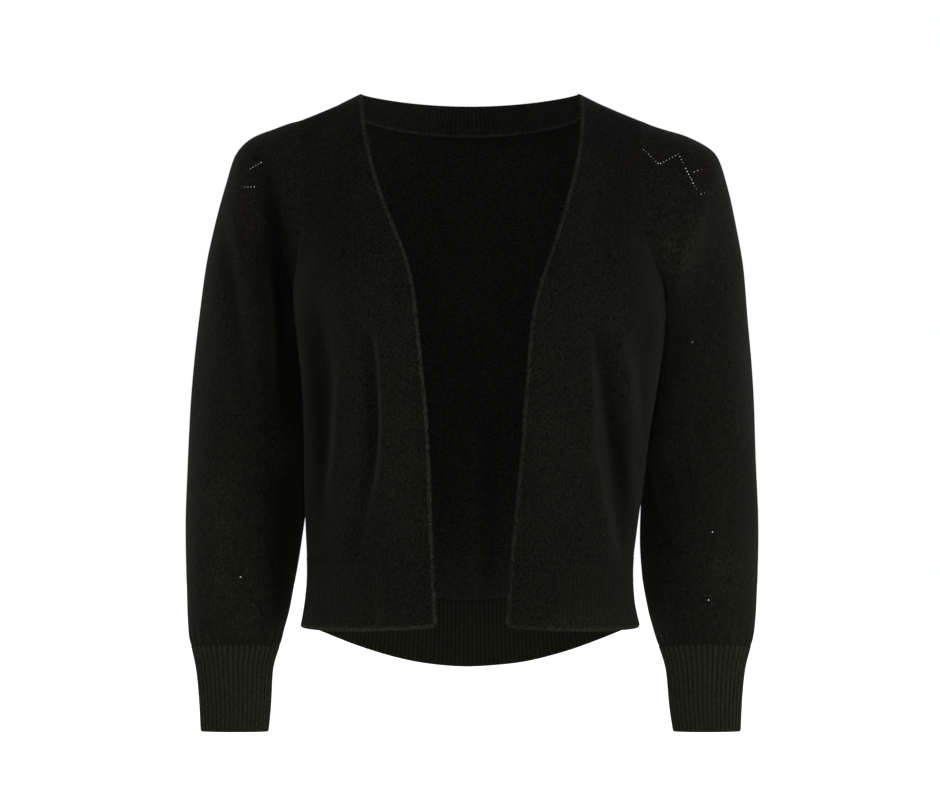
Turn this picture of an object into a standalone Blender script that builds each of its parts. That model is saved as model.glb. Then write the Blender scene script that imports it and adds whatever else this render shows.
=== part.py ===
"""Knitted shrug: an open-fronted cropped cardigan with full sleeves, filled out and hollow.

Metres, +Z up, front towards -Y. Left and right are as seen from the front: left is -X.
The origin is between the high shoulder points, where the shoulders of a wearer carry the garment.
Every piece is a wall of knitted cloth: an outer skin worked out from the tables below, and an
inner skin one wall thickness behind it. Ribs are raised in the outer skin only.
"""

from collections import namedtuple
import math

import bmesh
import bpy
import numpy as np

COLLECTION = "knitted_shrug"
LEFT, RIGHT = -1, 1

# ---------------------------------------------------------------- sizes
WALL = 0.0020
SEAM_GAP = 0.0003
HALF_GAP = SEAM_GAP / 2
SECTION_POWER = 2.3  # 2 is an ellipse; a torso is a little squarer

NECK_HALF_WIDTH = 0.1035
NECK_TOP_DEPTH = 0.062
NECK_TOP_DROP = 0.0067
NECK_SEAM_HALF_WIDTH = 0.124
NECK_SEAM_DEPTH = 0.078
NECK_SEAM_DROP = 0.0250
NECK_SHARE = 0.81  # the share of a half back's top row that is neck seam
SHOULDER_X = 0.160
SHOULDER_Z = -0.0249
UNDERARM_Z = -0.195
ARMHOLE_REACH = 0.049
BLADE_DEPTH = 0.1105  # of the back behind the shoulder line, high up

SIDE_HEM_Z = -0.5045
FRONT_HEM_RISE = 0.0060
BACK_HEM_DROP = 0.0475
HEM_RIB_HEIGHT = 0.0645
FACING_WIDTH = 0.048  # plain self-faced strip along each front edge, beside the hem rib

RIB_HEIGHT = 0.0008
HEM_RIB_PITCH = 0.0042
NECK_RIB_PITCH = 0.0037
CUFF_RIBS = 40

# ---------------------------------------------------------------- how finely each piece is divided
YOKE_ROWS = 12
BODY_ROWS = 9
FACING_COLUMNS = 4
FRONT_COLUMNS = 13
NECK_COLUMNS = 10  # in a half back, along the neck seam
SHOULDER_COLUMNS = 3
HEM_ROWS = 2
CUFF_ROWS = 2
SHOULDER_RINGS = 8  # of the sleeve's rows, those down to FULL_RING
SLEEVE_RINGS = 12

# ---------------------------------------------------------------- tables
# Half widths of the body at each height, and how far it stands out in front and behind.
Body = namedtuple("Body", "z left right front back")
BODY = (
    Body(-0.195, 0.1680, 0.1860, 0.1170, 0.1130),
    Body(-0.220, 0.1655, 0.1855, 0.1215, 0.1126),
    Body(-0.255, 0.1620, 0.1815, 0.1245, 0.1095),
    Body(-0.290, 0.1590, 0.1755, 0.1240, 0.1040),
    Body(-0.330, 0.1575, 0.1680, 0.1210, 0.0980),
    Body(-0.370, 0.1570, 0.1635, 0.1170, 0.0942),
    Body(-0.410, 0.1558, 0.1590, 0.1130, 0.0935),
    Body(-0.455, 0.1545, 0.1547, 0.1100, 0.0970),
    Body(-0.480, 0.1565, 0.1560, 0.1105, 0.1005),
    Body(-0.505, 0.1605, 0.1610, 0.1120, 0.1040),
)

# Depth of the chest in front of the shoulder line, down the centre.
Chest = namedtuple("Chest", "z depth")
CHEST = (
    Chest(0.000, 0.0000),
    Chest(-0.003, 0.0095),
    Chest(-0.012, 0.0225),
    Chest(-0.032, 0.0450),
    Chest(-0.060, 0.0665),
    Chest(-0.092, 0.0850),
    Chest(-0.125, 0.0990),
    Chest(-0.160, 0.1095),
) + tuple(Chest(row.z, row.front) for row in BODY)

# Distance of each front edge from the centre plane, from the shoulder to the hem.
Edge = namedtuple("Edge", "z left right")
FRONT_EDGE = (
    Edge(0.000, 0.1035, 0.1045),
    Edge(-0.012, 0.1005, 0.1042),
    Edge(-0.032, 0.0980, 0.1023),
    Edge(-0.064, 0.0912, 0.0970),
    Edge(-0.098, 0.0803, 0.0890),
    Edge(-0.126, 0.0672, 0.0800),
    Edge(-0.154, 0.0571, 0.0708),
    Edge(-0.186, 0.0506, 0.0620),
    Edge(-0.218, 0.0479, 0.0560),
    Edge(-0.254, 0.0442, 0.0527),
    Edge(-0.291, 0.0406, 0.0500),
    Edge(-0.327, 0.0378, 0.0474),
    Edge(-0.382, 0.0361, 0.0425),
    Edge(-0.418, 0.0352, 0.0388),
    Edge(-0.455, 0.0333, 0.0361),
    Edge(-0.500, 0.0312, 0.0330),
)

# Distance of the armhole seam from the centre plane; way is 0 at the shoulder, 1 at the underarm.
Armhole = namedtuple("Armhole", "way left right")
ARMHOLE = (
    Armhole(0.00, 0.1600, 0.1600),
    Armhole(0.20, 0.1570, 0.1570),
    Armhole(0.40, 0.1560, 0.1575),
    Armhole(0.60, 0.1575, 0.1615),
    Armhole(0.80, 0.1620, 0.1720),
    Armhole(0.93, 0.1665, 0.1830),
    Armhole(1.00, 0.1680, 0.1860),
)

# Sleeve and cuff rings. Each has an outermost point (out) and an innermost point (in) in the front
# view, the depth of its centre behind the shoulder line, its half depth, and how steeply its front
# is tipped up.
Ring = namedtuple("Ring", "number out_left out_right out_z in_left in_right in_z back half lean")
RINGS = (
    Ring(0, 0.1600, 0.1600, -0.0249, 0.1680, 0.1860, -0.1950, 0.000, 0.0500, 0.00),
    Ring(1, 0.1850, 0.1850, -0.0325, 0.1695, 0.1885, -0.2010, 0.007, 0.0550, 0.00),
    Ring(2, 0.2080, 0.2090, -0.0405, 0.1680, 0.1878, -0.2130, 0.015, 0.0580, 0.00),
    Ring(3, 0.2245, 0.2345, -0.0560, 0.1650, 0.1850, -0.2290, 0.020, 0.0590, 0.00),
    Ring(4, 0.2345, 0.2460, -0.0870, 0.1628, 0.1825, -0.2460, 0.023, 0.0590, 0.00),
    Ring(5, 0.2440, 0.2545, -0.1230, 0.1605, 0.1800, -0.2640, 0.025, 0.0585, 0.00),
    Ring(6, 0.2530, 0.2625, -0.1650, 0.1580, 0.1758, -0.2850, 0.027, 0.0580, 0.00),
    Ring(7, 0.2592, 0.2670, -0.2120, 0.1563, 0.1712, -0.3090, 0.029, 0.0570, 0.00),
    Ring(8, 0.2642, 0.2705, -0.2600, 0.1558, 0.1672, -0.3350, 0.030, 0.0560, 0.00),
    Ring(9, 0.2680, 0.2723, -0.3080, 0.1558, 0.1645, -0.3630, 0.028, 0.0550, 0.02),
    Ring(10, 0.2705, 0.2730, -0.3560, 0.1570, 0.1628, -0.3930, 0.023, 0.0540, 0.06),
    Ring(11, 0.2715, 0.2735, -0.4040, 0.1608, 0.1622, -0.4240, 0.015, 0.0520, 0.10),
    Ring(12, 0.2710, 0.2730, -0.4500, 0.1650, 0.1635, -0.4570, 0.005, 0.0480, 0.13),
    Ring(13, 0.2690, 0.2715, -0.4880, 0.1702, 0.1685, -0.4890, -0.004, 0.0410, 0.15),
    Ring(14, 0.2665, 0.2690, -0.5095, 0.1760, 0.1745, -0.5095, -0.0085, 0.0335, 0.16),
    Ring(15, 0.2635, 0.2655, -0.5235, 0.1805, 0.1790, -0.5235, -0.011, 0.0270, 0.16),
    Ring(16, 0.2583, 0.2595, -0.5470, 0.1866, 0.1856, -0.5470, -0.015, 0.0215, 0.16),
    Ring(17, 0.2550, 0.2562, -0.5780, 0.1880, 0.1882, -0.5780, -0.020, 0.0190, 0.16),
    Ring(18, 0.2535, 0.2548, -0.6023, 0.1900, 0.1915, -0.6023, -0.024, 0.0178, 0.16),
)
FULL_RING = 4
FOLD_START_RING = 3
CUFF_RING = 15
LAST_RING = 18

# Soft troughs (negative height) and ridges, each along a short path in the front view.
Fold = namedtuple("Fold", "piece face height width path")
FOLDS = (
    Fold("front_left", "front", -0.0075, 0.0100,
         ((-0.0900, -0.222), (-0.0860, -0.272), (-0.0870, -0.318), (-0.0920, -0.364),
          (-0.1040, -0.437))),
    Fold("front_left", "front", 0.0035, 0.0070,
         ((-0.0760, -0.215), (-0.0735, -0.280), (-0.0745, -0.345), (-0.0790, -0.400))),
    Fold("front_left", "front", -0.0060, 0.0110,
         ((-0.1380, -0.262), (-0.1320, -0.290), (-0.1350, -0.328), (-0.1420, -0.376))),
    Fold("front_left", "front", 0.0030, 0.0090,
         ((-0.1180, -0.250), (-0.1150, -0.300), (-0.1180, -0.345), (-0.1280, -0.400))),
    Fold("front_right", "front", -0.0070, 0.0110,
         ((0.1220, -0.248), (0.1300, -0.290), (0.1370, -0.327), (0.1430, -0.375))),
    Fold("front_right", "front", 0.0045, 0.0080,
         ((0.1110, -0.262), (0.1150, -0.327), (0.1190, -0.355), (0.1300, -0.418), (0.1340, -0.431))),
    Fold("front_right", "front", 0.0035, 0.0090,
         ((0.1540, -0.234), (0.1515, -0.282), (0.1550, -0.328), (0.1570, -0.360), (0.1540, -0.402))),
    Fold("back", "back", -0.0060, 0.0160,
         ((-0.0850, -0.240), (-0.0780, -0.300), (-0.0800, -0.360), (-0.0900, -0.430))),
    Fold("back", "back", 0.0040, 0.0110,
         ((0.0170, -0.270), (0.0190, -0.350), (0.0170, -0.440), (0.0150, -0.495))),
    Fold("back", "back", -0.0050, 0.0150,
         ((0.0950, -0.255), (0.0880, -0.310), (0.0920, -0.370), (0.1000, -0.420))),
    Fold("sleeve_left", "front", -0.0060, 0.0105,
         ((-0.2050, -0.058), (-0.1980, -0.085), (-0.1890, -0.120), (-0.1810, -0.150))),
    Fold("sleeve_left", "front", -0.0035, 0.0090,
         ((-0.2340, -0.120), (-0.2290, -0.175), (-0.2240, -0.225), (-0.2190, -0.270))),
    Fold("sleeve_left", "back", -0.0050, 0.0115,
         ((-0.2040, -0.065), (-0.1960, -0.100), (-0.1880, -0.140))),
    Fold("sleeve_left", "back", -0.0040, 0.0120,
         ((-0.2200, -0.290), (-0.2050, -0.320), (-0.1880, -0.350))),
    Fold("sleeve_right", "front", -0.0045, 0.0100,
         ((0.2140, -0.075), (0.2110, -0.110), (0.2060, -0.145), (0.2010, -0.175))),
    Fold("sleeve_right", "front", -0.0040, 0.0080,
         ((0.1700, -0.350), (0.1740, -0.385), (0.1790, -0.410), (0.1870, -0.426))),
    Fold("sleeve_right", "back", -0.0050, 0.0115,
         ((0.2110, -0.068), (0.2060, -0.105), (0.2010, -0.145))),
    Fold("sleeve_right", "back", -0.0040, 0.0120,
         ((0.2230, -0.300), (0.2080, -0.325), (0.1920, -0.350))),
)


# ---------------------------------------------------------------- curves through the tables
def read(table, key, column, at):
    """A smooth curve through one column of a table, with no overshoot, read at values of its key."""
    rows = sorted(table, key=lambda row: getattr(row, key))
    knots = np.array([getattr(row, key) for row in rows])
    values = np.array([getattr(row, column) for row in rows])
    at = np.clip(np.asarray(at, float), knots[0], knots[-1])
    steps = np.diff(knots)
    secants = np.diff(values) / steps
    slopes = np.empty_like(values)
    slopes[0], slopes[-1] = secants[0], secants[-1]
    before, after = secants[:-1], secants[1:]
    same_way = before * after > 0
    total = np.where(same_way, before + after, 1.0)
    slopes[1:-1] = np.where(same_way, 2 * before * after / total, 0.0)
    place = np.clip(np.searchsorted(knots, at) - 1, 0, len(steps) - 1)
    step = steps[place]
    t = (at - knots[place]) / step
    start = (1 + 2 * t) * (1 - t) ** 2 * values[place] + t * (1 - t) ** 2 * step * slopes[place]
    end = t * t * (3 - 2 * t) * values[place + 1] + t * t * (t - 1) * step * slopes[place + 1]
    return start + end


def name_of(side):
    return "left" if side == LEFT else "right"


def ease(t):
    t = np.clip(t, 0.0, 1.0)
    return t * t * (3 - 2 * t)


def unit(vectors):
    return vectors / np.maximum(np.linalg.norm(vectors, axis=-1, keepdims=True), 1e-12)


def spread(points, fractions):
    """Points at the given fractions of the length of a finely divided line."""
    lengths = np.concatenate(([0.0], np.cumsum(np.linalg.norm(np.diff(points, axis=0), axis=1))))
    places = np.asarray(fractions) * lengths[-1]
    return np.stack([np.interp(places, lengths, column) for column in points.T], axis=1)


# ---------------------------------------------------------------- the armhole
def armhole_reach(way):
    """How far the armhole seam stands in front of, and behind, the shoulder line."""
    swell = 2 * np.sqrt(np.clip(way * (1 - way), 0.0, 1.0))
    return ARMHOLE_REACH * swell**1.3 * (1 + 0.25 * (way - 0.5))


def armhole_point(side, way, face):
    """A point of the armhole seam; face is -1 in front and +1 behind."""
    x = side * read(ARMHOLE, "way", name_of(side), way)
    z = SHOULDER_Z + (UNDERARM_Z - SHOULDER_Z) * way
    return np.stack([x, face * armhole_reach(way), z], axis=-1)


# ---------------------------------------------------------------- the body's skin
# A place on the body is (down, across). Down is 0 along the shoulder, 1 at the underarm and 2 at
# the hem. Across is 0 at the front edge or centre back, and 1 at the armhole or side seam.
def quarter(side, depth, side_x, side_y, inner_x, fractions):
    """Points round a quarter of the body, from inner_x out to the side point."""
    half_power = SECTION_POWER / 2
    outer_angle = math.asin(min(side_y / depth, 0.95) ** half_power)
    half_width = side_x / math.cos(outer_angle) ** (1 / half_power)
    inner_angle = math.acos(min(inner_x / half_width, 1.0) ** half_power)
    angles = np.linspace(inner_angle, outer_angle, 160)
    x = side * half_width * np.cos(angles) ** (1 / half_power)
    y = depth * np.sin(angles) ** (1 / half_power)
    return spread(np.stack([x, y], axis=1), fractions)


def facing_share(down, length):
    """The share of a front's width that its facing takes."""
    return FACING_WIDTH / length * (0.5 + 0.5 * ease(down))


def front_row(side, down, across):
    """One row of a front, from its front edge to the armhole or the side seam."""
    column = name_of(side)
    if down < 1:
        ridge = SHOULDER_Z * across**0.9
        z = ridge + (UNDERARM_Z - ridge) * down
        edge_z = UNDERARM_Z * down
        side_x = float(read(ARMHOLE, "way", column, down))
        side_y = float(armhole_reach(down))
    else:
        side_z = UNDERARM_Z + (SIDE_HEM_Z - UNDERARM_Z) * (down - 1)
        rise = FRONT_HEM_RISE * ease(down - 1)
        z = side_z + rise * (1 - across) ** 3
        edge_z = side_z + rise
        side_x = float(read(BODY, "z", column, side_z))
        side_y = 0.0
    depth = float(read(CHEST, "z", "depth", edge_z)) + 1e-5
    edge_x = float(read(FRONT_EDGE, "z", column, edge_z))
    flat = quarter(side, depth, side_x, side_y, edge_x, across)
    return np.stack([flat[:, 0], -flat[:, 1], z], axis=1)


def shoulder_z(x):
    """Height of the shoulder seam at a distance from the centre plane."""
    way = np.clip((x - NECK_HALF_WIDTH) / (SHOULDER_X - NECK_HALF_WIDTH), 0, 1)
    return SHOULDER_Z * way**0.9


def neck_seam(turn):
    """The seam between the back and its neck band; turn is 0 at centre back, 1 at the shoulder."""
    angle = turn * math.pi / 2
    drop = NECK_SEAM_DROP * np.cos(angle) ** 1.165
    corner_z = shoulder_z(NECK_SEAM_HALF_WIDTH)
    return NECK_SEAM_HALF_WIDTH * np.sin(angle), NECK_SEAM_DEPTH * np.cos(angle), corner_z - drop


def back_top(across):
    """The top row of a half back: the neck seam, then the shoulder seam."""
    turn = np.clip(across / NECK_SHARE, 0, 1)
    x, y, z = neck_seam(turn)
    out = np.clip((across - NECK_SHARE) / (1 - NECK_SHARE), 0, 1)
    shoulder_x = x + (SHOULDER_X - NECK_SEAM_HALF_WIDTH) * out
    on_shoulder = across > NECK_SHARE
    return (np.where(on_shoulder, shoulder_x, x), np.where(on_shoulder, 0.0, y),
            np.where(on_shoulder, shoulder_z(shoulder_x), z))


def back_row(side, down, across):
    """One row of a half back, from the centre to the armhole or the side seam."""
    column = name_of(side)
    if down < 1:
        top_x, top_y, top_z = back_top(across)
        share = (1 - (1 - down) ** 2.2) ** 0.75
        depth = BLADE_DEPTH + (BODY[0].back - BLADE_DEPTH) * down
        side_x = float(read(ARMHOLE, "way", column, down))
        side_y = float(armhole_reach(down)) / max(share, 1e-6)
        flat = quarter(side, depth, side_x, side_y, 0.0, across)
        x = (1 - share) * side * top_x + share * flat[:, 0]
        y = (1 - share) * top_y + share * flat[:, 1]
        x[-1] = side * side_x if across[-1] == 1 else x[-1]
        z = top_z + (UNDERARM_Z - top_z) * down
        return np.stack([x, y, z], axis=1)
    side_z = UNDERARM_Z + (SIDE_HEM_Z - UNDERARM_Z) * (down - 1)
    depth = float(read(BODY, "z", "back", side_z))
    side_x = float(read(BODY, "z", column, side_z))
    flat = quarter(side, depth, side_x, 0.0, 0.0, across)
    rib_top = 1 + (SIDE_HEM_Z + HEM_RIB_HEIGHT - UNDERARM_Z) / (SIDE_HEM_Z - UNDERARM_Z)
    dip = BACK_HEM_DROP * ease((down - 1) / (rib_top - 1))
    z = side_z - dip * (1 - (flat[:, 0] / side_x) ** 2)
    return np.stack([flat[:, 0], flat[:, 1], z], axis=1)


def grid(row, side, downs, acrosses):
    """Rows of points; acrosses is one list for all rows, or a list for each row."""
    shared = np.ndim(acrosses[0]) == 0
    return np.stack([row(side, down, np.asarray(acrosses if shared else acrosses[n]))
                     for n, down in enumerate(downs)])


def normals(row, side, downs, acrosses, outward):
    """Unit normals of the body's skin; outward is the sign of Y on the outside."""
    step = 2e-3
    shared = np.ndim(acrosses[0]) == 0
    acrosses = [np.asarray(acrosses if shared else acrosses[n]) for n in range(len(downs))]
    low = grid(row, side, np.maximum(np.asarray(downs) - step, 1e-4), acrosses)
    high = grid(row, side, np.minimum(np.asarray(downs) + step, 2.0), acrosses)
    inside = grid(row, side, downs, [np.clip(a - step, 0, 1) for a in acrosses])
    outside = grid(row, side, downs, [np.clip(a + step, 0, 1) for a in acrosses])
    found = unit(np.cross(outside - inside, high - low))
    flip = np.sign(found[..., 1] * outward + found[..., 0] * side * 0.5)
    return found * np.where(flip == 0, 1, flip)[..., None]


# ---------------------------------------------------------------- folds
def path_points(path):
    """A smooth line through the points of a fold's path."""
    knots = np.array(path)
    ways = np.linspace(0, len(knots) - 1, 60)
    place = np.minimum(ways.astype(int), len(knots) - 2)
    t = (ways - place)[:, None]
    before = knots[np.maximum(place - 1, 0)]
    start, end = knots[place], knots[place + 1]
    after = knots[np.minimum(place + 2, len(knots) - 1)]
    return 0.5 * (2 * start + (end - before) * t + (2 * before - 5 * start + 4 * end - after) * t**2
                  + (3 * start - before - 3 * end + after) * t**3)


def fold_heights(piece, points, facing):
    """How far the folds of a piece lift each of its points; facing is Y of the skin's normal."""
    flat = points[..., (0, 2)]
    total = np.zeros(points.shape[:-1])
    for fold in FOLDS:
        if fold.piece != piece:
            continue
        line = path_points(fold.path)
        distance = np.linalg.norm(flat[..., None, :] - line, axis=-1)
        nearest = np.argmin(distance, axis=-1)
        along = nearest / (len(line) - 1)
        taper = np.sin(np.pi * (0.12 + 0.76 * along)) ** 0.8
        turned = np.clip(-facing if fold.face == "front" else facing, 0, 1) ** 0.5
        total += fold.height * np.exp(-(np.min(distance, axis=-1) / fold.width) ** 2) * taper * turned
    return total


# ---------------------------------------------------------------- the sleeve's skin
def ellipse_ring(side, number, angles):
    """A ring of the sleeve or cuff; angle 0 is outermost, a quarter turn is in front."""
    names = (f"out_{name_of(side)}", "out_z", f"in_{name_of(side)}", "in_z", "back", "half", "lean")
    out_x, out_z, in_x, in_z, back, half, lean = (read(RINGS, "number", name, number) for name in names)
    x = side * ((out_x + in_x) / 2 + (out_x - in_x) / 2 * np.cos(angles))
    y = back - half * np.sin(angles)
    z = (out_z + in_z) / 2 + (out_z - in_z) / 2 * np.cos(angles) + lean * half * np.sin(angles)
    return np.stack([x, y, z], axis=-1)


def armhole_loop(side, angles):
    """The whole armhole seam, at the angles of a sleeve ring."""
    way = (1 - np.cos(angles)) / 2
    face = np.where(np.sin(angles) >= 0, -1, 1)
    return armhole_point(side, way, face)


def sleeve_ring(side, number, angles):
    """A ring of the sleeve, which starts as the armhole seam and soon becomes an ellipse."""
    start = armhole_loop(side, angles) - ellipse_ring(side, 0, angles)
    return ellipse_ring(side, number, angles) + start * (1 - ease(number / 2.5))


def sleeve_normals(side, number, angles):
    """Unit normals of a ring, pointing out of the sleeve."""
    step = 1e-3
    below = sleeve_ring(side, min(number + step, LAST_RING), angles)
    above = sleeve_ring(side, max(number - step, 0), angles)
    along = below - above
    around = sleeve_ring(side, number, angles + step) - sleeve_ring(side, number, angles - step)
    found = unit(np.cross(around, along))
    centre = sleeve_ring(side, number, angles).mean(axis=0)
    away = np.sum(found * (sleeve_ring(side, number, angles) - centre))
    return found if away > 0 else -found


def armhole_seam(side, angles):
    """Points of the armhole seam, the shared direction of its walls, and the way into the sleeve."""
    points = armhole_loop(side, angles)
    step = 1e-3
    tangent = unit(armhole_loop(side, angles + step) - armhole_loop(side, angles - step))
    sleeve = unit(np.cross(tangent, sleeve_ring(side, 0.5, angles) - points))
    centre = points.mean(axis=0)
    sleeve *= np.where(np.sum(sleeve * (points - centre), axis=1) > 0, 1, -1)[:, None]
    down = (1 - np.cos(angles)) / 2
    panel = np.empty_like(points)
    for n, angle in enumerate(angles):
        row, outward = (front_row, -1) if math.sin(angle) >= 0 else (back_row, 1)
        panel[n] = normals(row, side, [min(max(down[n], 0.01), 0.995)], [1.0], outward)[0, 0]
    under = np.clip(-np.cos(angles), 0, 1) ** 4
    over = np.clip(np.cos(angles), 0, 1) ** 8
    upright = np.array([0.0, 0.0, 1.0])
    shared = unit(panel + sleeve + (2 * over - 0.8 * under)[:, None] * upright)
    ends = np.abs(np.sin(angles)) < 1e-6
    shared[ends, 1] = 0.0
    shared = unit(shared)
    into = unit(np.cross(tangent, shared))
    into *= np.where(into[:, 0] * side > 0, 1, -1)[:, None]
    return points, shared, into


# ---------------------------------------------------------------- making the solids
def new_collection(name):
    collection = bpy.data.collections.new(name)
    bpy.context.scene.collection.children.link(collection)
    return collection


def yarn(name, colour, roughness):
    """Matte knitted yarn."""
    material = bpy.data.materials.new(name)
    material.use_nodes = True
    shader = material.node_tree.nodes["Principled BSDF"]
    shader.inputs["Base Color"].default_value = (*colour, 1)
    shader.inputs["Roughness"].default_value = roughness
    shader.inputs["Metallic"].default_value = 0.0
    return material


def wall(collection, name, outer, inner, material, closed=False, cells=None):
    """One closed body between two grids of points; cells says which squares of the grid are cloth."""
    rows, columns = outer.shape[:2]
    across = columns if closed else columns - 1
    if cells is None:
        cells = np.ones((rows - 1, across), bool)
    shape = bmesh.new()
    used = {}

    def vertex(skin, row, column):
        place = (skin, row, column % columns)
        if place not in used:
            used[place] = shape.verts.new((outer, inner)[skin][place[1], place[2]])
        return used[place]

    def cloth(row, column):
        if closed:
            column %= columns
        return 0 <= row < rows - 1 and 0 <= column < across and cells[row, column]

    for row in range(rows - 1):
        for column in range(across):
            if not cells[row, column]:
                continue
            corners = ((row, column), (row, column + 1), (row + 1, column + 1), (row + 1, column))
            for half in ((0, 1, 2), (0, 2, 3)):
                shape.faces.new([vertex(0, *corners[n]) for n in half])
                shape.faces.new([vertex(1, *corners[n]) for n in reversed(half)])
            neighbours = ((row - 1, column), (row, column + 1), (row + 1, column), (row, column - 1))
            for n, neighbour in enumerate(neighbours):
                if cloth(*neighbour):
                    continue
                start, end = corners[n], corners[(n + 1) % 4]
                edge = [vertex(0, *end), vertex(0, *start), vertex(1, *start), vertex(1, *end)]
                # Both walls of a seam are split the same way: from the higher outer corner down.
                first = 0 if edge[0].co.z > edge[1].co.z else 1
                for half in ((first, first + 1, first + 2), (first, first + 2, (first + 3) % 4)):
                    shape.faces.new([edge[corner] for corner in half])
    bmesh.ops.recalc_face_normals(shape, faces=shape.faces)
    mesh = bpy.data.meshes.new(name)
    shape.to_mesh(mesh)
    shape.free()
    mesh.shade_smooth()
    mesh.set_sharp_from_angle(angle=math.radians(40))
    mesh.materials.append(material)
    built = bpy.data.objects.new(name, mesh)
    collection.objects.link(built)
    return built


def rib_profile(columns):
    """Heights of the outer skin across a ribbed piece: furrow, rib, furrow, rib and so on."""
    return np.where(np.arange(columns) % 2 == 1, RIB_HEIGHT / 2, -RIB_HEIGHT / 2)


def level(directions):
    """The same directions laid level, for walls that meet at a level seam."""
    flat = directions.copy()
    flat[..., 2] = 0
    return unit(flat)


# ---------------------------------------------------------------- where rows and columns run
SLEEVE_ANGLES = np.linspace(0, 2 * math.pi, 2 * YOKE_ROWS, endpoint=False)
YOKE_DOWNS = (1 - np.cos(np.linspace(0, math.pi, YOKE_ROWS + 1))) / 2
RIB_TOP = 1 + (SIDE_HEM_Z + HEM_RIB_HEIGHT - UNDERARM_Z) / (SIDE_HEM_Z - UNDERARM_Z)
BODY_DOWNS = np.linspace(1, RIB_TOP, BODY_ROWS + 1)[1:]
SLEEVE_NUMBERS = np.concatenate((np.linspace(0, FULL_RING, SHOULDER_RINGS + 1),
                                 np.linspace(FULL_RING, CUFF_RING, SLEEVE_RINGS + 1)[1:]))


def front_acrosses(side, downs):
    """Columns of a front, with one column line along the edge of its facing on every row."""
    lists = []
    for down in downs:
        line = front_row(side, max(down, 1e-4), np.linspace(0, 1, 80))
        length = np.sum(np.linalg.norm(np.diff(line, axis=0), axis=1))
        share = facing_share(down, length)
        strip = np.linspace(0, share, FACING_COLUMNS + 1)
        lists.append(np.concatenate((strip, np.linspace(share, 1, FRONT_COLUMNS + 1)[1:])))
    return lists


def set_armhole(points, directions, side, face, column):
    """Give the armhole column of a front or back the directions that the sleeve's wall also has."""
    angles = np.linspace(0, math.pi, YOKE_ROWS + 1) * (1 if face < 0 else -1) % (2 * math.pi)
    seam, shared, _ = armhole_seam(side, angles)
    points[:YOKE_ROWS + 1, column] = seam
    directions[:YOKE_ROWS + 1, column] = shared


def ridge_direction():
    """Straight out of the shoulder seam."""
    run = SHOULDER_X - NECK_HALF_WIDTH
    return unit(np.array([-SHOULDER_Z, 0.0, run]))


# ---------------------------------------------------------------- the pieces
def make_front(collection, side):
    """A front and the plain facing strip that runs down to the hem beside the rib."""
    name = f"front_{name_of(side)}"
    hem_downs = np.linspace(RIB_TOP, 2, HEM_ROWS + 1)[1:]
    downs = np.concatenate((YOKE_DOWNS, BODY_DOWNS, hem_downs))
    acrosses = front_acrosses(side, downs)
    points = grid(front_row, side, np.maximum(downs, 1e-4), acrosses)
    directions = normals(front_row, side, np.clip(downs, 1e-3, 2), acrosses, -1)
    points += directions * fold_heights(name, points, directions[..., 1])[..., None]
    last = points.shape[1] - 1
    directions[0, :last] = ridge_direction() * (side, 1, 1)
    points[0, :last, 1] = 0
    set_armhole(points, directions, side, -1, last)
    below = slice(YOKE_ROWS + 1, None)
    directions[below, last, 1] = 0
    directions[below] = unit(directions[below])
    seam_row = YOKE_ROWS + BODY_ROWS
    directions[seam_row] = level(directions[seam_row])
    directions[-1] = level(directions[-1])
    inner = points - directions * WALL
    for skin in (points, inner):
        skin[0, :, 1] -= HALF_GAP
        skin[YOKE_ROWS:, last, 1] -= HALF_GAP
    cells = np.ones((len(downs) - 1, last), bool)
    cells[seam_row:, FACING_COLUMNS:] = False
    material = yarn(name, (0.0075, 0.0073, 0.0062), 0.92)
    return wall(collection, name, points, inner, material, cells=cells)


def make_back(collection):
    """The back, in one piece from side seam to side seam."""
    downs = np.concatenate((YOKE_DOWNS, BODY_DOWNS))
    neck_part = np.linspace(0, NECK_SHARE, NECK_COLUMNS + 1)
    half = np.concatenate((neck_part, np.linspace(NECK_SHARE, 1, SHOULDER_COLUMNS + 1)[1:]))
    skins = []
    for side in (LEFT, RIGHT):
        points = grid(back_row, side, np.maximum(downs, 1e-4), half)
        directions = normals(back_row, side, np.clip(downs, 1e-3, 2), half, 1)
        directions[:, 0, 0] = 0
        directions = unit(directions)
        points += directions * fold_heights("back", points, directions[..., 1])[..., None]
        seam, shared = neck_band_seam(side, np.linspace(0, 1, NECK_COLUMNS + 1))
        points[0, :NECK_COLUMNS + 1] = seam
        directions[0, :NECK_COLUMNS + 1] = shared
        last = points.shape[1] - 1
        directions[0, NECK_COLUMNS:last] = ridge_direction() * (side, 1, 1)
        points[0, NECK_COLUMNS:last, 1] = 0
        set_armhole(points, directions, side, 1, last)
        directions[YOKE_ROWS + 1:, last, 1] = 0
        directions = unit(directions)
        directions[-1] = level(directions[-1])
        inner = points - directions * WALL
        for skin in (points, inner):
            skin[0, NECK_COLUMNS:, 1] += HALF_GAP
            skin[YOKE_ROWS:, last, 1] += HALF_GAP
            skin[-1, :, 2] += 2 * HALF_GAP
        skins.append((points, inner))
    outer, inner = (np.concatenate((skins[0][n][:, :0:-1], skins[1][n]), axis=1) for n in range(2))
    material = yarn("back", (0.0060, 0.0058, 0.0055), 0.92)
    return wall(collection, "back", outer, inner, material)


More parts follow.
